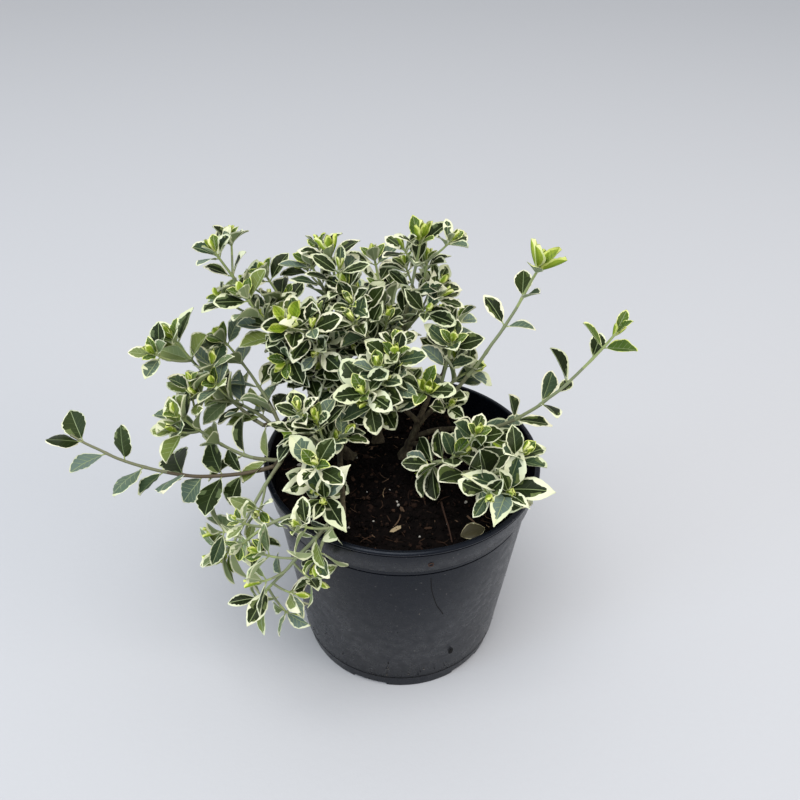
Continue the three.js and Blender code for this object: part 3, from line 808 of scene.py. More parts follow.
def growth(seed, curve, twig_count, leaf_share, name, traits):
    """What grows on a shoot: pairs of leaves at its nodes, side twigs, and a rosette."""
    reach = curve.length
    leaf_length = LEAF_LENGTH * leaf_share
    nodes = max(1, round((reach - FIRST_NODE) / (NODE_PITCH * leaf_share)))
    fallen = HANGING_FALLEN if "hanging" in traits else FALLEN
    leaves = rosette(seed, curve, leaf_length, TIPS.get(name, ROSETTE), "facing" in traits)
    for leaf in leaves:
        leaf.at_tip = True
    twigs, fine = [], []
    for node in range(nodes):
        share = (FIRST_NODE + (reach - FIRST_NODE) * node / nodes) / reach
        point, tangent = curve.at(share)
        turn = node_turn(tangent, node) + NODE_TWIST * (chance(seed, node, DRAW["turn"]) - 0.5)
        for half in (0, 180):
            angle = LEAF_ANGLE + ANGLE_SCATTER * (chance(seed, node, DRAW["angle"] + half) - 0.5)
            size = leaf_length * (1 + LEAF_SCATTER * (chance(seed, node, DRAW["size"] + half) - 0.5))
            if share > BARE.get(name, 0) and chance(seed, node, DRAW["fall"] + half) > fallen:
                leaves.append(Leaf(point, tangent, turn + half, angle, size))
        if math.floor((node + 1) * twig_count / nodes) > len(twigs):
            between = turn + 90 + 180 * (len(twigs) % 2)
            aim = Leaf(point, tangent, between, TWIG_ANGLE, 1).along
            length = TWIG_LENGTH * (1 + TWIG_SCATTER * (chance(seed, node, DRAW["length"]) - 0.5))
            path = sagging(point, aim, length)
            twigs.append((path, rosette(seed + TWIG_SEED * (node + 1), path, TWIG_LEAF * leaf_length)))
        if "loose" in traits:
            if chance(seed, node, DRAW["fine"]) < LOOSE_CHANCE:
                fine.append(fine_twig(seed, node, curve, share, turn - 90))
        elif "open" not in traits:
            leaves += finer_growth(seed, node, curve, share, nodes, fine, turn, "full" in traits)
        elif name in LEAFY:
            leaves += small_pair(seed, node, curve, share, nodes, turn, LEAFY[name])
    for k, (share, way, length) in enumerate(REACHING.get(name, [])):
        path = sagging(curve.at(share)[0], unit(np.array(way)), length)
        fine.append((path, fine_rosette(seed + REACHING_SEED * (k + 1), path)))
    return leaves, twigs + fine


# Fine twigs, spurs, aprons and the small pairs of leaves between two nodes
FINE_TWIG_LENGTH = 14
FINE_TWIG_LEAF = 0.94
FINE_TWIG_CHANCE = 0.55
SPUR_PITCH = 13
SPUR_START = 0.3
SPUR_END = 0.96
GOLDEN_TURN = 137.5
APRON_AIM = np.array([-0.1, -0.7, -0.6])
APRON_FOLLOW = 0.3
APRON_LENGTH = 15
APRON_LIFT = 0.1
APRON_PLACES = (0.2, 0.34, 0.48, 0.62, 0.76, 0.9)
SMALL_LEAF = 0.9
SMALL_PAIR_CHANCE = 0.7


def sagging(start, aim, length, lift=-TWIG_SAG):
    """The path of a twig, which bows by a share of its length."""
    return Curve(start, start + length * aim, lift * length)


def fine_rosette(seed, path, facing=False):
    return rosette(seed, path, FINE_TWIG_LEAF * LEAF_LENGTH, FINE_ROSETTE, facing)


def fine_twig(seed, node, curve, share, azimuth):
    """A short twig with its own rosette."""
    point, tangent = curve.at(share)
    aim = Leaf(point, tangent, azimuth, TWIG_ANGLE, 1).along
    length = FINE_TWIG_LENGTH * (0.8 + 0.5 * chance(seed, node, DRAW["fine_length"]))
    path = sagging(point, aim, length)
    return path, fine_rosette(seed + FINE_TWIG_SEED * (node + 1), path)


def spurs(seed, curve):
    """Short leafy twigs all round a bough's outer part."""
    count = int((1 - SPUR_START) * curve.length / SPUR_PITCH)
    shares = SPUR_START + (SPUR_END - SPUR_START) * (np.arange(count) + 0.5) / max(1, count)
    return [fine_twig(seed, k, curve, share, GOLDEN_TURN * k) for k, share in enumerate(shares)]


def apron(seed, curve):
    """Short leafy twigs on the side of a bough that faces forwards and down."""
    twigs = []
    for k, share in enumerate(APRON_PLACES):
        point, tangent = curve.at(share)
        aside = (chance(seed, k, DRAW["aside"]) - 0.5) * np.cross(APRON_AIM, UP)
        aim = unit(APRON_FOLLOW * tangent + APRON_AIM + aside)
        length = APRON_LENGTH * (0.7 + 0.6 * chance(seed, k, DRAW["fine_length"]))
        path = sagging(point, aim, length, APRON_LIFT)
        twigs.append((path, fine_rosette(seed + FINE_TWIG_SEED * (k + 1), path, facing=True)))
    return twigs


def small_pair(seed, node, curve, share, nodes, turn, odds=SMALL_PAIR_CHANCE):
    """A smaller pair of leaves half-way to the next node, often with one missing."""
    leaves = []
    step = (curve.length - FIRST_NODE) / nodes / curve.length
    if node < nodes - 1:
        point, tangent = curve.at(share + step / 2)
        for half in (0, 180):
            if chance(seed, node, DRAW["pair"] + half) > 1 - odds:
                scatter = 0.85 + 0.3 * chance(seed, node, DRAW["pair_size"] + half)
                size = SMALL_LEAF * LEAF_LENGTH * scatter
                leaves.append(Leaf(point, tangent, turn + 45 + half, LEAF_ANGLE, size))
    return leaves


def finer_growth(seed, node, curve, share, nodes, fine, turn, full):
    """A smaller pair between two nodes, and at some nodes a short twig with its own rosette."""
    leaves = small_pair(seed, node, curve, share, nodes, turn)
    if full or chance(seed, node, DRAW["fine"]) < FINE_TWIG_CHANCE:
        fine.append(fine_twig(seed, node, curve, share, turn - 90))
    if full:
        fine.append(fine_twig(seed + FULL_SEED, node, curve, share, turn + 90))
    return leaves


# Leaves

LEAF_ROWS = 19
UNDER_STEP = 2
PETIOLE = 2.6
PETIOLE_SHARE = 0.12
PETIOLE_RADII = np.array([0.55, 0.45, 0.4])
MIDRIB = 0.25
MIDRIB_DENT = 0.22
DENT_WIDTH = 0.09
QUILTS = 6
QUILT_HEIGHT = 0.16
THICKNESS = 0.34
VEIN_PAIRS = 4
VEIN_START = 0.16
VEIN_STEP = 0.16
VEIN_SLANT = 0.075
VEIN_HALF = 0.14
VEIN_LIFT = 0.07
VEIN_STAGGER = 0.2
VEIN_TAPER = 0.3
VEINED_LENGTH = 9
VEINED_SHARE = 0.4
ROLL = 0.3
HANGING_ROLL = 1.6
YOUNG_SLENDER = 0.86
STAR_SLENDER = 0.8
YOUNG_CUP = 0.22
YOUNG_FOLD = 0.3
PLAIN_FOLD = 0.1
PLAIN_TEETH = 1.7
LEAST_HALF = 0.3

# What leaves differ in: widths, teeth and margins in shares or millimetres, bends in radians.
RANGES = {
    "width": (0.78, 1.06), "teeth": (0.015, 0.05), "droop": (0.1, 0.6), "young_droop": (-0.6, -0.1),
    "margin": (0.25, 0.5), "fold": (0.12, 0.5), "cup": (-0.12, 0.1), "waves": (1, 2.4),
    "ripple": (0.1, 0.5), "twist": (-0.35, 0.35),
}

# The outline of a leaf by its shape: the range of the place where it is widest, and those of
# the powers that make its base and its tip blunt (low) or drawn out (high).
LEAF_SHAPES = {
    "round": ((0.43, 0.55), (0.6, 0.85), (0.6, 0.95)),
    "pointed": ((0.4, 0.46), (0.6, 0.75), (1.0, 1.25)),
    "young": ((0.48, 0.56), (0.7, 0.8), (0.5, 0.65)),
}

# How many times the margin changes its width along a leaf, its jags, the leaf length from which
# it is at full width, how deep it reaches in where it is thin, middling and broad, and the draws
# up to which it is the first and the second of these.
MARGIN_KNOTS = 11
MARGIN_JAGS = 0.55
FULL_MARGIN_LENGTH = 20
MARGIN_LOBES = (0.9, 2.6, 5)
MARGIN_ODDS = {"narrow": (0.5, 0.84), "thin": (0.8, 0.97)}
BROAD_ODDS = (0.2, 0.55)

# The share of a pointed leaf's half width that is green, by place along it.
STAR_GREEN = ([0, 0.25, 0.5, 0.72, 0.85, 1], [0.75, 0.76, 0.6, 0.3, 0.05, 0.04])

# The zones of colour by age: the green and its streaks, the midrib, the side veins and the edge.
ZONES = {
    "old": ("dark", "mid", "rib", "vein", "cream"),
    "fresh": ("fresh", "mid", "rib", "rib", "lime_edge"),
    "young": ("sprout", "lime", "lime", "fresh", "lime_edge"),
    "fallen": ("wilted", "wilted", "wilted", "wilted", "wilted_edge"),
}

# How often a leaf on a pale shoot is light (partly painted light, on the left-hand side where the
# light falls most), the draws from which one has a painted sheen (a blue-grey green standing in
# for the sky's reflection) and from which its green has a streak, by its kind of margin, and the
# width below which the green is left out.
LIGHT_SHARE = 0.62
PAINTED_SHEEN_FROM = 0.85
PLAIN_PAINTED_SHEEN_FROM = 0.7
STREAK_FROM = (0.85, 0.6, 0.6)
NARROW_GREEN = 0.12

# The underside keeps these of the top's columns; its zones run from the edge to the midrib.
UNDER_COLUMNS = [0, 2, 3, 4, 5, 6, 7, 8, 10]
OLD_UNDER = ("under_edge", "under", "under", "under_rib")
YOUNG_UNDER = ("lime_edge", "lime", "sprout", "sprout")


def leaf_profile(u, widest, base, tip):
    """The half width of a leaf at a share of its length, as a share of the greatest."""
    power = math.log(0.5) / math.log(widest)
    return np.sin(math.pi * np.clip(u, 0, 1) ** power) ** (base + (tip - base) * u)


def side_veins(top, u, v, length):
    """Narrow strips that lie on a leaf, from its midrib to the edge of the green."""
    verts, faces = [], []
    middle = top.shape[1] // 2
    for side in (-1, 1):
        for k in range(VEIN_PAIRS):
            foot = VEIN_START + VEIN_STEP * (k + VEIN_STAGGER * side)
            if abs(np.interp(foot + VEIN_SLANT, u, v[:, middle + 3 * side])) < VEINED_SHARE:
                continue
            for reach in (0, 1, 2):
                place = foot + VEIN_SLANT * reach
                half = VEIN_HALF * (1 - VEIN_TAPER * reach) / length
                for end in (-side, side):
                    row = np.interp(place + end * half, u, np.arange(len(u)))
                    low = min(int(row), len(u) - 2)
                    column = middle + side * (1 + reach)
                    point = top[low, column] * (low + 1 - row) + top[low + 1, column] * (row - low)
                    verts.append(point + [0, 0, VEIN_LIFT])
            first = len(verts) - 6
            faces += [[first + j + c for c in (0, 1, 3, 2)] for j in (0, 2)]
    return np.array(verts), np.array(faces)


def leaf_columns(u, half, rnd, margin, lobes, tip_margin, star):
    """The places of the columns of vertices across a leaf, as shares of its half width.

    The margin's width has steps where the green stops short between veins.
    """
    sides = []
    for _ in range(2):
        knots = np.sort(rnd.uniform(0, 1, MARGIN_KNOTS))
        waves = np.interp(u, knots, rnd.random(MARGIN_KNOTS) ** 2.5)
        edge = margin + lobes * waves + rnd.uniform(0, MARGIN_JAGS, LEAF_ROWS)
        edge = edge + tip_margin * np.clip((u - 0.8) / 0.2, 0, 1)
        green = np.clip(1 - edge / half, 0.03, 0.97)
        if star:
            green = np.clip(np.interp(u, *STAR_GREEN) + 0.5 * (0.35 - waves), 0.03, 0.95)
        rib = np.minimum(MIDRIB / half, 0.3 * green)
        sides.append([rib, (rib + green) / 2, green, (1 + green) / 2, np.ones(LEAF_ROWS)])
    left, right = np.array(sides)
    return np.concatenate([-left[::-1], np.zeros((1, LEAF_ROWS)), right]).T


def bent_blade(u, half, width, length, droop, style, young, rnd):
    """The function that gives the points of a blade from places across it and their depth."""
    bend = -droop * u**1.4
    steps = length * np.diff(u)
    forward = np.concatenate([[0], np.cumsum(np.cos(bend[1:]) * steps)])
    rise = np.concatenate([[0], np.cumsum(np.sin(bend[1:]) * steps)])
    fold = PLAIN_FOLD if style == "plain" else YOUNG_FOLD if young else rnd.uniform(*RANGES["fold"])
    cup = YOUNG_CUP if young else rnd.uniform(*RANGES["cup"])
    ripples = [(rnd.uniform(*RANGES["waves"]), rnd.random()) for _ in range(2)]
    ripple = rnd.uniform(*RANGES["ripple"])
    roll = rnd.uniform(*RANGES["twist"]) * u[:, None]
    along, half, bend = u[:, None], half[:, None], bend[:, None]

    def surface(v, drop):
        out = np.abs(v)
        height = out * half * math.sin(fold) + cup * width * out**2
        for side, (waves, phase) in enumerate(ripples):
            wave = np.sin(2 * math.pi * (waves * along + phase))
            height = height + ((v >= 0) == side) * ripple * wave * out**2
        quilts = np.sin(2 * math.pi * QUILTS * (along - 0.1 * out))
        height = height + QUILT_HEIGHT * quilts * out * (1 - out)
        height = height - MIDRIB_DENT * np.exp(-((out / DENT_WIDTH) ** 2)) - drop * (1 - out**4)
        y = half * v * math.cos(fold)
        y, height = y * np.cos(roll) - height * np.sin(roll), y * np.sin(roll) + height * np.cos(roll)
        x = forward[:, None] - np.sin(bend) * height + 0.3 * half * out * (1 - along)
        return np.stack([x, y, rise[:, None] + np.cos(bend) * height], -1)

    return surface


def add_leaf(batch, leaf, seed, style, pale_and_lit, index):
    """A blade in its own outline: green middle, cream margin, and a paler underside."""
    rnd = np.random.default_rng(seed)
    petiole = min(PETIOLE, PETIOLE_SHARE * leaf.length)
    length = leaf.length - petiole
    young, plain = leaf.age == "young", style == "plain"
    star = style == "star" and leaf.at_tip and leaf.age == "old"
    slender = YOUNG_SLENDER if young else STAR_SLENDER if star else 1
    width = leaf.length * leaf.width * rnd.uniform(*RANGES["width"]) * slender
    u = 1 - (1 - np.linspace(0, 1, LEAF_ROWS)) ** 1.25
    teeth = np.where(np.arange(LEAF_ROWS) % 3 == 0, -1, 0.5) * np.clip((u - 0.15) * 6, 0, 1)
    teeth = teeth * rnd.uniform(*RANGES["teeth"]) * (PLAIN_TEETH if plain else 1)
    shape = LEAF_SHAPES["young" if young else "pointed" if star else "round"]
    widest, base, tip = (rnd.uniform(*ends) for ends in shape)
    half = width / 2 * leaf_profile(0.012 + 0.985 * u, widest, base, tip) * (1 + teeth)
    half = np.maximum(half, LEAST_HALF)
    droop = rnd.uniform(*RANGES["young_droop" if young else "droop"])

    kind = int(np.searchsorted(MARGIN_ODDS.get(style, BROAD_ODDS), rnd.random()))
    small = min(1, leaf.length / FULL_MARGIN_LENGTH)
    margin = rnd.uniform(*RANGES["margin"]) * small
    lobes = MARGIN_LOBES[kind] * small
    if leaf.age != "old" or plain:
        kind = 0
        margin, lobes = (0.5 * small, 0.2) if young else (0.18 * small, 0.3)
    v = leaf_columns(u, half, rnd, margin, lobes, (0.3 + 0.9 * kind) * small, star)
    surface = bent_blade(u, half, width, length, droop, style, young, rnd)
    top = surface(v, 0)

    tone = rnd.integers(0, 60)

    def pick(zone):
        return index[zone][tone % len(index[zone])]

    green, streak, rib, vein, edge = ZONES[leaf.age]
    if leaf.age == "old":
        draw = rnd.random()
        # A light green on a pale shoot is partly painted light on the left-hand side, where the light
        # falls most.
        if pale_and_lit and draw < LIGHT_SHARE:
            green, rib, vein = "light", "pale_rib", "pale_rib"
        # A leaf with a sheen gets a painted reflection of the sky as its green, with pale veins.
        elif draw > (PLAIN_PAINTED_SHEEN_FROM if plain else PAINTED_SHEEN_FROM):
            green, rib, vein = "painted_sheen", "pale_rib", "pale_rib"
    zones = [edge, edge, streak if young else green, green, rib]
    mats = np.tile([pick(zone) for zone in zones + zones[::-1]], (LEAF_ROWS - 1, 1))
    for column in (2, 3, 6, 7):
        levels = rnd.random(LEAF_ROWS - 1)
        levels = np.repeat(levels, rnd.integers(2, 5, LEAF_ROWS - 1))[:LEAF_ROWS - 1]
        if green == "dark" and column in (2, 7):
            mats[levels > STREAK_FROM[kind], column] = pick(streak)
    between = np.abs(v[:-1] + v[1:]) / 2
    mats[np.minimum(between[:, 2], between[:, 7]) < NARROW_GREEN] = pick(edge)

    across = np.cross(leaf.face, leaf.along)
    roll = rnd.uniform(-1, 1) * (HANGING_ROLL if leaf.hangs else ROLL)
    face = leaf.face * math.cos(roll) + across * math.sin(roll)
    axes = np.stack([leaf.along, np.cross(face, leaf.along), face])

    def add(points, faces, colours):
        placed = leaf.base + petiole * leaf.along + points.reshape(-1, 3) @ axes
        batch.add(placed, [faces], [colours])

    add(top, grid_faces(*v.shape)[:, ::-1], mats.ravel())
    if leaf.length > VEINED_LENGTH:
        strips, strip_faces = side_veins(top, u, v, length)
        if len(strips):
            add(strips, strip_faces, pick(vein))
    under = surface(v[:, UNDER_COLUMNS], THICKNESS)[::UNDER_STEP]
    zones = YOUNG_UNDER if young else OLD_UNDER
    under_mats = [pick(zone) for zone in zones + zones[::-1]]
    add(under, grid_faces(*under.shape[:2]), np.tile(under_mats, len(under) - 1))


# The plant

LIMB_WIGGLE = 0.5
SHOOT_WIGGLE = 0.35
TWIG_WIGGLE = 0.2
STEM_RINGS = 40
STEM_SIDES = 20
STEM_SUNK = 1
STEM_RELIEF = 0.09
STEM_SEED = 100
BOUGH_RING_PITCH = 1.6
BOUGH_SIDES = 14
BOUGH_RELIEF = 0.08
BOUGH_SEED = 20
SHOOT_RING_PITCH = 2
SHOOT_SIDES = 8
NODE_SWELLING = 0.22
NODE_SPREAD = 2.2
TWIG_RINGS = 8
TWIG_SIDES = 6
SPUR_SEED = 200
APRON_SEED = 300
LEAF_SEED = 1000


def wiggled(curve, count, seed, size):
    """Points along a curve, with the small bends that growth leaves in it."""
    rnd = np.random.default_rng(seed)
    shares = np.linspace(0, 1, count)
    points = np.array([curve.at(s)[0] for s in shares])
    kinks = max(3, count // 5)
    offsets = rnd.uniform(-size, size, (kinks + 1, 3))
    offsets[0] = 0
    offsets[-1] = 0
    places = np.linspace(0, 1, kinks + 1)
    return points + np.stack([np.interp(shares, places, offsets[:, i]) for i in range(3)], 1)


def bark_relief(seed, depth):
    """Ridges and knobs as a sum of waves round and along a limb."""
    rnd = np.random.default_rng(seed)
    terms = [
        (rnd.integers(1, 6), rnd.uniform(0.1, 1.1), rnd.uniform(0, 6.3), rnd.uniform(0.4, 1))
        for _ in range(9)
    ]

    def relief(angle, ring):
        total = 0
        for around, along, phase, weight in terms:
            total = total + weight * np.sin(around * angle + along * ring + phase)
        return depth * total / 4

    return relief


def add_bark(node, curve, radii, sides, seed, relief, bark):
    """A limb's ridged bark, in the place of its solid."""
    batch = Batch()
    tube(batch, wiggled(curve, len(radii), seed, LIMB_WIGGLE), radii, sides, 0, relief)
    dress(batch.object(f"{node}_bark", [bark]), [node])


def make_limbs(bark):
    """The stems and boughs. It returns the boughs' curves, on which the shoots stand."""
    stems, boughs = {}, {}
    for number, (name, (heading, reach, top_heading, top_reach, height)) in enumerate(STEMS.items()):
        foot = polar(heading, reach, 0)
        foot[2] = soil_top(foot[0], foot[1]) - STEM_SUNK
        curve = Curve(foot, polar(top_heading, top_reach, height), 0, STEM_BOW)
        stems[name] = curve
        share = np.linspace(0, 1, STEM_RINGS)
        flare = np.clip(1 - share * curve.length / FLARE_HEIGHT, 0, 1) ** 2
        radii = np.linspace(*STEM_RADII, STEM_RINGS) + flare * STEM_RADII[0] * (STEM_FLARE - 1)
        relief = bark_relief(number, STEM_RELIEF)
        add_bark(name, curve, radii, STEM_SIDES, STEM_SEED + number, relief, bark)
    for stem, rows in BOUGHS.items():
        for sister, (name, (heading, reach, height, lift)) in enumerate(rows.items()):
            start = fork_point(stems[stem], sister, BOUGH_SPACING)
            curve = Curve(start, polar(heading, reach, height), lift)
            boughs[name] = curve
            radii = np.linspace(*BOUGH_RADII, max(12, int(curve.length / BOUGH_RING_PITCH)))
            relief = bark_relief(BOUGH_SEED + len(boughs), BOUGH_RELIEF)
            add_bark(f"bough_{name}", curve, radii, BOUGH_SIDES, len(boughs), relief, bark)
    return boughs


def dress(ob, nodes):
    """Puts a piece on the one body, in the place of its nodes."""
    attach(ob, "root")
    if nodes:
        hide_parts(*nodes)


def stem_mats(count, start, end):
    """Stem material by ring: 0 wood to 3 fresh, from start at the root to end at the tip."""
    return np.clip(np.round(np.linspace(start, end, count)), 0, 3).astype(np.int32)


def node_swelling(count, length, pitch):
    """The share by which a shoot is thicker at its nodes."""
    s = np.linspace(0, length, count)
    away = (s - FIRST_NODE + pitch / 2) % pitch - pitch / 2
    return 1 + NODE_SWELLING * np.exp(-(away**2) / NODE_SPREAD)


def shoot_stem(batch, name, number, curve, leaf_share):
    """A shoot's own stem, thicker at its nodes."""
    count = max(10, int(curve.length / SHOOT_RING_PITCH))
    bearing = curve.length - FIRST_NODE
    pitch = bearing / max(1, round(bearing / (NODE_PITCH * leaf_share)))
    radii = np.linspace(*SHOOT_RADII, count) * node_swelling(count, curve.length, pitch)
    mats = stem_mats(count, *((0, 1) if name == "left_far" else (1, 3)))
    tube(batch, wiggled(curve, count, number, SHOOT_WIGGLE), radii, SHOOT_SIDES, mats)


def make_foliage(boughs, leaf_materials, index, stem_materials):
    """The shoots with all their twigs and leaves, joined by group and kind."""
    numbers = {name: n + 1 for n, name in enumerate(n for rows in SHOOTS.values() for n in rows)}
    for group, members in GROUPS.items():
        twig_batch, leaf_batch = Batch(), Batch()
        shoots = [(bough, *place) for bough in members for place in enumerate(SHOOTS[bough].items())]
        for bough, sister, (name, row) in shoots:
            number = numbers[name]
            heading, reach, height, lift, swing, twig_count, leaf_share, traits = row
            start = fork_point(boughs[bough], sister, SHOOT_SPACING)
            end = polar(heading, reach, height)
            end = end + (start - end) * BUD_LENGTH / np.linalg.norm(end - start)
            curve = Curve(start, end, lift, swing)
            shoot_stem(twig_batch, name, number, curve, leaf_share)
            traits = traits.split()
            leaves, twigs = growth(number, curve, twig_count, leaf_share, name, traits)
            if sister == 0 and bough in SPURRED:
                twigs = twigs + spurs(SPUR_SEED + number, boughs[bough])
            if sister == 0 and bough in APRONED:
                twigs = twigs + apron(APRON_SEED + number, boughs[bough])
            radii = np.linspace(*TWIG_RADII, TWIG_RINGS)
            for twig, (path, its_leaves) in enumerate(twigs):
                points = wiggled(path, TWIG_RINGS, number + twig, TWIG_WIGGLE)
                tube(twig_batch, points, radii, TWIG_SIDES, stem_mats(TWIG_RINGS, 2, 3))
                leaves = leaves + its_leaves
            style = next((style for style in STYLES if style in traits), "narrow")
            for i, leaf in enumerate(leaves):
                leaf.width = WIDE.get(name, LEAF_WIDTH)
                leaf.length *= LEAF_SCALE.get(name, 1)
                leaf.hangs = "hanging" in traits and leaf.age != "young"
                add_leaf(leaf_batch, leaf, LEAF_SEED * number + i, style, "pale" in traits, index)
                add_petiole(twig_batch, leaf)
        nodes = [f"foliage_{name}" for _, _, (name, _) in shoots]
        dress(twig_batch.object(f"twigs_{group}", stem_materials), nodes)
        dress(leaf_batch.object(f"leaves_{group}", leaf_materials), nodes)


def add_petiole(batch, leaf):
    reach = min(PETIOLE, PETIOLE_SHARE * leaf.length) + 1
    points = [leaf.base + leaf.along * s for s in np.linspace(0, reach, len(PETIOLE_RADII))]
    tube(batch, points, PETIOLE_RADII * min(1, leaf.length / 16), 5, 3)


def make_pot(material):
    """The moulded pot, with the notches and drain holes of its foot cut out."""
    profile = np.array([(r + out, z + up) for r, z, steps in POT_PROFILE for out, up in steps])
    x, y = ring_grid(profile[:, 0], POT_SIDES)
    batch = Batch()
    add_rings(batch, np.stack([x, y, np.repeat(profile[:, 1:], POT_SIDES, 1)], -1))
    pot = batch.object("pot_moulded", [material])
    cutters = Batch()
    deep, high = 2 * FOOT_WIDTH, FLOOR_UNDER - ROUNDING
    size = [2 * deep, NOTCH_WIDTH, 2 * high]
    for i in range(NOTCH_COUNT):
        heading = NOTCH_HEADING + i * 360 / NOTCH_COUNT
        corners = (CUBE_VERTS * size + [FOOT_RADIUS - FOOT_WIDTH, 0, 0]) @ turning(heading)
        cutters.add(corners, [CUBE_FACES], [0])
        drain = [polar(heading, DRAIN_REACH, z) for z in (1, 4.2, 8)]
        tube(cutters, drain, [DRAIN_RADIUS] * len(drain), 32, 0)
    cutter = cutters.object("pot_cutter", [material])
    modifier = pot.modifiers.new("cuts", "BOOLEAN")
    modifier.operation = "DIFFERENCE"
    modifier.solver = "EXACT"
    modifier.object = cutter
    evaluated = pot.evaluated_get(bpy.context.evaluated_depsgraph_get())
    mesh = bpy.data.meshes.new_from_object(evaluated)
    pot.modifiers.clear()
    pot.data = mesh
    bpy.data.objects.remove(cutter)
    for polygon in mesh.polygons:
        polygon.use_smooth = True
    mesh.set_sharp_from_angle(angle=math.radians(CREASE_ANGLE))
    dress(pot, ["pot"])


def on_wall(heading, height, out=0.0):
    """A point on the outside of the pot."""
    foot, top = (FOOT_LEDGE, WALL_FOOT_RADIUS), (BAND_FOOT, WALL_TOP_RADIUS)
    if height > BAND_FOOT:
        foot, top = (BAND_FOOT, WALL_TOP_RADIUS + BAND_STEP), (POT_HEIGHT - 4.4, RIM_RADIUS - 0.55)
    share = (height - foot[0]) / (top[0] - foot[0])
    return polar(heading, foot[1] + (top[1] - foot[1]) * share + out, height)


# Marks on the pot: paths by heading and height, their radii and how deep they are sunk.
GATE_MARK = (-78.4, 148.8, 1.6)
GATE_LINE = 0.3
GATE_TURNS = 25
SCRATCH = [(-77.4, 132), (-76.8, 121), (-75.6, 112), (-73.4, 100), (-71.2, 93), (-69.7, 88)]
SCRATCH_RADIUS = 0.36
SCRATCH_SUNK = 0.05
DRIP = [(-61.6, 41), (-61.5, 38), (-61.4, 35.5), (-61.3, 33), (-61.2, 31)]
DRIP_RADII = [0.3, 2.7, 3.1, 2.8, 0.3]
DRIP_SUNK = 2.3
# The near-black ring under the foot's ledge, with its radius and its points round the pot, is painted
# shade where the wall overhangs the foot.
LEDGE_LINE = 0.45
LEDGE_TURNS = 181
SPECK_COUNT = 150
SPECKS_LOW = 0.6
SPECK_ODDS = {"dirt_dark": 0.6, "dirt_pale": 0.4}
MARK_COLOURS = {
    # The near-black of the scratched line also serves the drip and the ring of painted shade under the
    # foot's ledge.
    "rust": (66, 48, 40), "dark_mark_and_painted_shade": (7, 7, 8), "dirt_dark": (10, 9, 8), "dirt_pale": (120, 114, 106),
}


def drawn(rnd, odds):
    """One of the names in odds."""
    return rnd.choice(list(odds), p=list(odds.values()))


def make_marks():
    """The moulding mark, a scratched line, a dried drip, specks of soil, and a near-black ring of painted
    shade under the foot's ledge.
    """
    kinds = list(MARK_COLOURS)
    batch = Batch()

    def mark(points, radii, sides, kind):
        tube(batch, points, np.broadcast_to(radii, len(points)), sides, kinds.index(kind))

    heading, height, size = GATE_MARK
    per_degree = math.radians(1) * RIM_RADIUS
    turns = np.linspace(0, 2 * math.pi, GATE_TURNS)
    around = [(heading + size * math.cos(t) / per_degree, height + size * math.sin(t)) for t in turns]
    mark([on_wall(h, z) for h, z in around], GATE_LINE, 6, "rust")
    mark([on_wall(h, z, -SCRATCH_SUNK) for h, z in SCRATCH], SCRATCH_RADIUS, 6, "dark_mark_and_painted_shade")
    mark([on_wall(h, z, -DRIP_SUNK) for h, z in DRIP], DRIP_RADII, 20, "dark_mark_and_painted_shade")
    # A near-black ring just under the foot's ledge: painted shade, where the wall overhangs the foot ring.
    headings = np.linspace(0, 360, LEDGE_TURNS)
    ledge = [on_wall(h, FOOT_LEDGE - LEDGE_LINE, -0.75 * LEDGE_LINE) for h in headings]
    mark(ledge, LEDGE_LINE, 6, "dark_mark_and_painted_shade")
    rnd = np.random.default_rng(5)
    for _ in range(SPECK_COUNT):
        low = rnd.random() < SPECKS_LOW
        z = FOOT_LEDGE + rnd.exponential(8) if low else rnd.uniform(FOOT_LEDGE + 2, POT_HEIGHT - 5)
        spot = on_wall(rnd.uniform(0, 360), min(z, POT_HEIGHT - 5))
        speck = grain(rnd, 0.6, 1.3) * rnd.uniform(0.15, 0.5) + spot
        batch.add(speck, [ICO_FACES], [kinds.index(drawn(rnd, SPECK_ODDS))])
    materials = coloured_set("pot", MARK_COLOURS, 0.8, 0.2)
    dress(batch.object("pot_marks", materials, smooth=False), [])


def make_soil(material):
    """The soil's uneven top and its plain sides and underside, as one closed mesh."""
    edge = inner_radius(SOIL_HEIGHT) - SOIL_EDGE_GAP
    radius = np.linspace(0.02, 1, SOIL_RINGS) ** 0.8 * edge
    x, y = ring_grid(radius, SOIL_SIDES)
    rnd = np.random.default_rng(7)
    rough = np.zeros_like(x)
    for size, height in SOIL_LUMPS:
        for _ in range(5):
            a, p = rnd.uniform(0, 6.3), rnd.uniform(0, 6.3)
            across = (x * math.cos(a) + y * math.sin(a)) * 2 * math.pi / size / 1.6
            rough += height / 2.4 * np.sin(across + p + 1.5 * np.sin(y / size + p))
    fade = np.clip((edge - radius) / 4, 0, 1)[:, None]
    rows = [np.stack([x, y, soil_top(x, y) + rough * fade - SOIL_SETTLED], -1)]
    floor_top = FLOOR_UNDER + FLOOR + SOIL_EDGE_GAP
    for height in (100, 50, floor_top):
        x, y = ring_grid([inner_radius(height) - SOIL_SIDE_GAP], SOIL_SIDES)
        rows.append(np.stack([x, y, np.full_like(x, height)], -1))
    batch = Batch()
    add_rings(batch, np.concatenate(rows), flipped=True)
    dress(batch.object("soil_surface", [material]), ["soil"])


SOIL_BITS = {
    "peat_dark": (9, 7, 7),
    "peat": (17, 12, 11),
    "peat_brown": (38, 27, 22),
    "bark": (58, 43, 34),
    "fibre": (92, 74, 60),
    "straw": (140, 118, 92),
    "perlite": (166, 163, 156),
    "red_twig": (60, 45, 38),
    "pale_chip": (154, 138, 110),
    "orange_chip": (146, 102, 70),
}

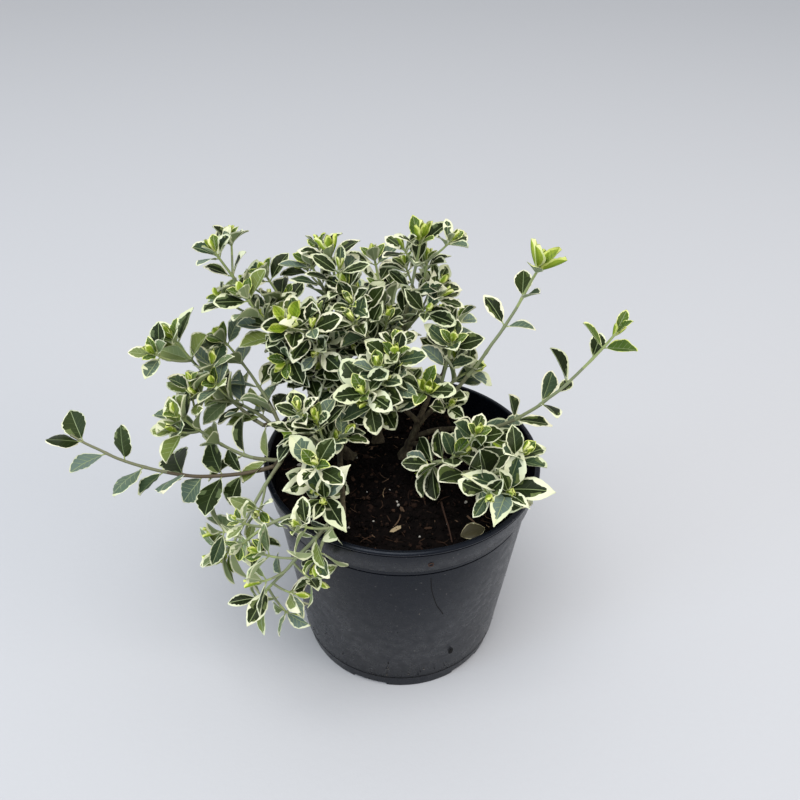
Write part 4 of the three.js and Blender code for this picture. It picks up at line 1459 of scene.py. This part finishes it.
# What the draws deal out on the soil: how far from the wall, how many, and the odds of kinds.
CRUMB_EDGE_GAP = 2.5
CRUMB_COUNT = 3600
CRUMB_ODDS = {"peat_dark": 0.5, "peat": 0.34, "peat_brown": 0.13, "bark": 0.024, "perlite": 0.006}
FIBRE_COUNT = 200
FIBRE_ODDS = {"bark": 0.35, "fibre": 0.25, "straw": 0.06, "peat_brown": 0.34}
FIBRE_RADII = np.array([0.12, 0.3, 0.36, 0.34, 0.26, 0.1])
SMALL_CHIP_COUNT = 60
SMALL_CHIP_KINDS = ["peat_brown", "bark", "bark", "fibre"]

# What lies on it in plain sight: chips by place, size, heading and kind, perlite by place, twigs
# by place and height above it, and the wilted leaf by place, direction and length.
CHIPS = [
    (-3.5, -56.8, (11, 4, 1.4), 40, "pale_chip"),
    (-63, 29, (20, 15, 3), 60, "orange_chip"),
]
PERLITE = [(-2.9, -32.4), (-23.5, -22.9), (52.1, -42.6), (30, -52), (-18, -50), (12, -64), (62, -20)]
TWIGS = {
    "red_twig": [(26.6, -33.6, 2.2), (28.5, -45, 2.6), (31, -57, 2.4), (32.6, -68.5, 2.2)],
    "fibre": [(43.5, -45.5, 2), (47.5, -51, 2.6), (51.7, -57.4, 2.2)],
}
FALLEN_LEAF = ((36, -63.5, 2), (15, 3, 2), 19)
FALLEN_LEAF_SEED = 77


def make_crumbs():
    """Crumbs of peat, fibres, chips, perlite and twigs lying on the soil."""
    kinds = list(SOIL_BITS)
    rnd = np.random.default_rng(11)
    batch = Batch()
    edge = inner_radius(SOIL_HEIGHT) - CRUMB_EDGE_GAP

    def spot():
        radius = edge * math.sqrt(rnd.random())
        angle = rnd.uniform(0, 2 * math.pi)
        return np.array([radius * math.cos(angle), radius * math.sin(angle)])

    def lay(verts, x, y, above, kind):
        batch.add(verts + [x, y, soil_top(x, y) + above], [ICO_FACES], [kinds.index(kind)])

    for _ in range(CRUMB_COUNT):
        x, y = spot()
        size = rnd.uniform(0.5, 1.9) * (1 if rnd.random() < 0.93 else 1.7)
        turn = np.linalg.qr(rnd.normal(size=(3, 3)))[0]
        crumb = grain(rnd, 0.65, 1.25) * size * rnd.uniform(0.5, 1.1, 3)
        lay(crumb @ turn, x, y, rnd.uniform(-0.5, 0.6), drawn(rnd, CRUMB_ODDS))
    for _ in range(FIBRE_COUNT):
        x, y = spot()
        heading = rnd.uniform(0, 2 * math.pi)
        reach = rnd.uniform(3, 13)
        bend = rnd.uniform(-0.25, 0.25) * reach
        direction = np.array([math.cos(heading), math.sin(heading)])
        side = np.array([-direction[1], direction[0]])
        points = []
        for s in np.linspace(-0.5, 0.5, len(FIBRE_RADII)):
            p = np.array([x, y]) + direction * reach * s + side * bend * (1 - 4 * s * s)
            if np.hypot(*p) > edge:
                p = p / np.hypot(*p) * edge
            points.append([*p, soil_top(*p) + 0.5 + rnd.uniform(0, 0.5)])
        kind = kinds.index(drawn(rnd, FIBRE_ODDS))
        tube(batch, points, FIBRE_RADII * rnd.uniform(0.5, 1.3), 4, kind)
    for _ in range(SMALL_CHIP_COUNT):
        x, y = spot()
        size = np.array([rnd.uniform(3, 7.5), rnd.uniform(1.4, 3.2), rnd.uniform(0.5, 1)])
        turn = np.linalg.qr(rnd.normal(size=(3, 3)) * [1, 1, 0.4] + np.diag([0, 0, 2]))[0]
        lay(grain(rnd, 0.7, 1.2) * size / 2 @ turn, x, y, 0.6, rnd.choice(SMALL_CHIP_KINDS))
    for x, y, size, heading, kind in CHIPS:
        chip = grain(rnd, 0.8, 1.15) * np.array(size) / 2
        lay(chip @ turning(heading), x, y, size[2] / 2, kind)
    for x, y in PERLITE:
        lay(grain(rnd, 0.7, 1.3) * rnd.uniform(0.5, 0.9), x, y, 0.8, "perlite")
    for kind, path in TWIGS.items():
        points = [(x, y, soil_top(x, y) + above) for x, y, above in path]
        tube(batch, points, np.linspace(0.7, 0.45, len(points)), 6, kinds.index(kind))
    materials = coloured_set("soil", SOIL_BITS, 0.95, 0.06, {"scale": 900}, 0.5, 0.0006)
    dress(batch.object("soil_crumbs", materials, smooth=False), [])


def make_fallen_leaf(materials, index):
    (x, y, above), direction, length = FALLEN_LEAF
    point = np.array([x, y, soil_top(x, y) + above])
    leaf = Leaf(point, unit(np.array(direction)), 0, 0, length, "fallen")
    batch = Batch()
    add_leaf(batch, leaf, FALLEN_LEAF_SEED, "narrow", False, index)
    dress(batch.object("leaf_fallen", materials), [])


# Surroundings

FLOOR_REACH = 30000
FLOOR_BACK = 1500
FLOOR_LINES = 60

# Lights by place and target in metres, size in metres, power in watts, and colour.
LIGHTS = {
    "key": ((-0.5, -1.2, 3.4), (0, 0.1, 0.1), 2.8, 96, (1.0, 0.99, 0.97)),
    "left": ((-2.2, -1.2, 0.7), (0, 0, 0.1), 0.9, 15, (0.55, 0.78, 1.0)),
    "right": ((2.2, -0.9, 1.0), (0, 0, 0.1), 1.3, 24, (1.0, 0.9, 0.8)),
}
SKY_COLOUR = (0.97, 0.985, 1.0, 1)
SKY_STRENGTH = 0.8


def make_floor():
    axis = np.linspace(-FLOOR_REACH, FLOOR_REACH, FLOOR_LINES)
    x, y = np.meshgrid(axis, axis + FLOOR_BACK)
    verts = np.stack([x, y, np.zeros_like(x)], -1).reshape(-1, 3)
    batch = Batch()
    batch.add(verts, [grid_faces(FLOOR_LINES, FLOOR_LINES)], [0])
    material, tree, shader = new_material("floor_paper", (184, 186, 191), 0.9, 0.2)
    link_bump(tree, shader, noise(tree, 180, 6), 0.15, 0.001)
    batch.object("floor", [material])


def add_object(name, data, location, right, up, back):
    """An object at a place in metres, with its own axes as given."""
    ob = bpy.data.objects.new(name, data)
    bpy.context.scene.collection.objects.link(ob)
    turn = Matrix(np.stack([right, up, back], 1).tolist())
    ob.matrix_world = Matrix.LocRotScale(location, turn.to_quaternion(), None)
    return ob


def make_lights():
    world = bpy.data.worlds.new("studio")
    bpy.context.scene.world = world
    world.use_nodes = True
    background = world.node_tree.nodes["Background"]
    background.inputs["Color"].default_value = SKY_COLOUR
    background.inputs["Strength"].default_value = SKY_STRENGTH
    for name, (location, target, size, energy, colour) in LIGHTS.items():
        light = bpy.data.lights.new(name, "AREA")
        light.shape = "DISK"
        light.size = size
        light.energy = energy
        light.color = colour
        back = unit(np.array(location, dtype=float) - np.array(target, dtype=float))
        right = unit(np.cross(UP, back))
        add_object(name, light, location, right, np.cross(back, right), back)


def make_camera():
    data = bpy.data.cameras.new("camera")
    data.sensor_width = data.lens = CAMERA_LENS
    data.clip_start = 0.01
    data.clip_end = 20
    pitch, yaw, roll = (math.radians(a) for a in (CAMERA_PITCH, CAMERA_YAW, CAMERA_ROLL))
    level = np.array([math.cos(yaw), -math.sin(yaw), 0])
    ahead = np.array([math.sin(yaw), math.cos(yaw), 0])
    forward = ahead * math.cos(pitch) - UP * math.sin(pitch)
    above = np.cross(level, forward)
    right = level * math.cos(roll) + above * math.sin(roll)
    up = -level * math.sin(roll) + above * math.cos(roll)
    place = (0, -CAMERA_BACK * MM, CAMERA_HEIGHT * MM)
    bpy.context.scene.camera = add_object("camera", data, place, right, up, -forward)


bpy.context.scene.view_settings.view_transform = "Standard"
make_camera()
make_lights()
make_floor()
leaf_materials, leaf_index = make_leaf_materials()
make_pot(make_pot_material())
make_soil(make_soil_material())
make_marks()
make_crumbs()
make_fallen_leaf(leaf_materials, leaf_index)
bough_curves = make_limbs(make_bark_material())
make_foliage(bough_curves, leaf_materials, leaf_index, make_stem_materials())
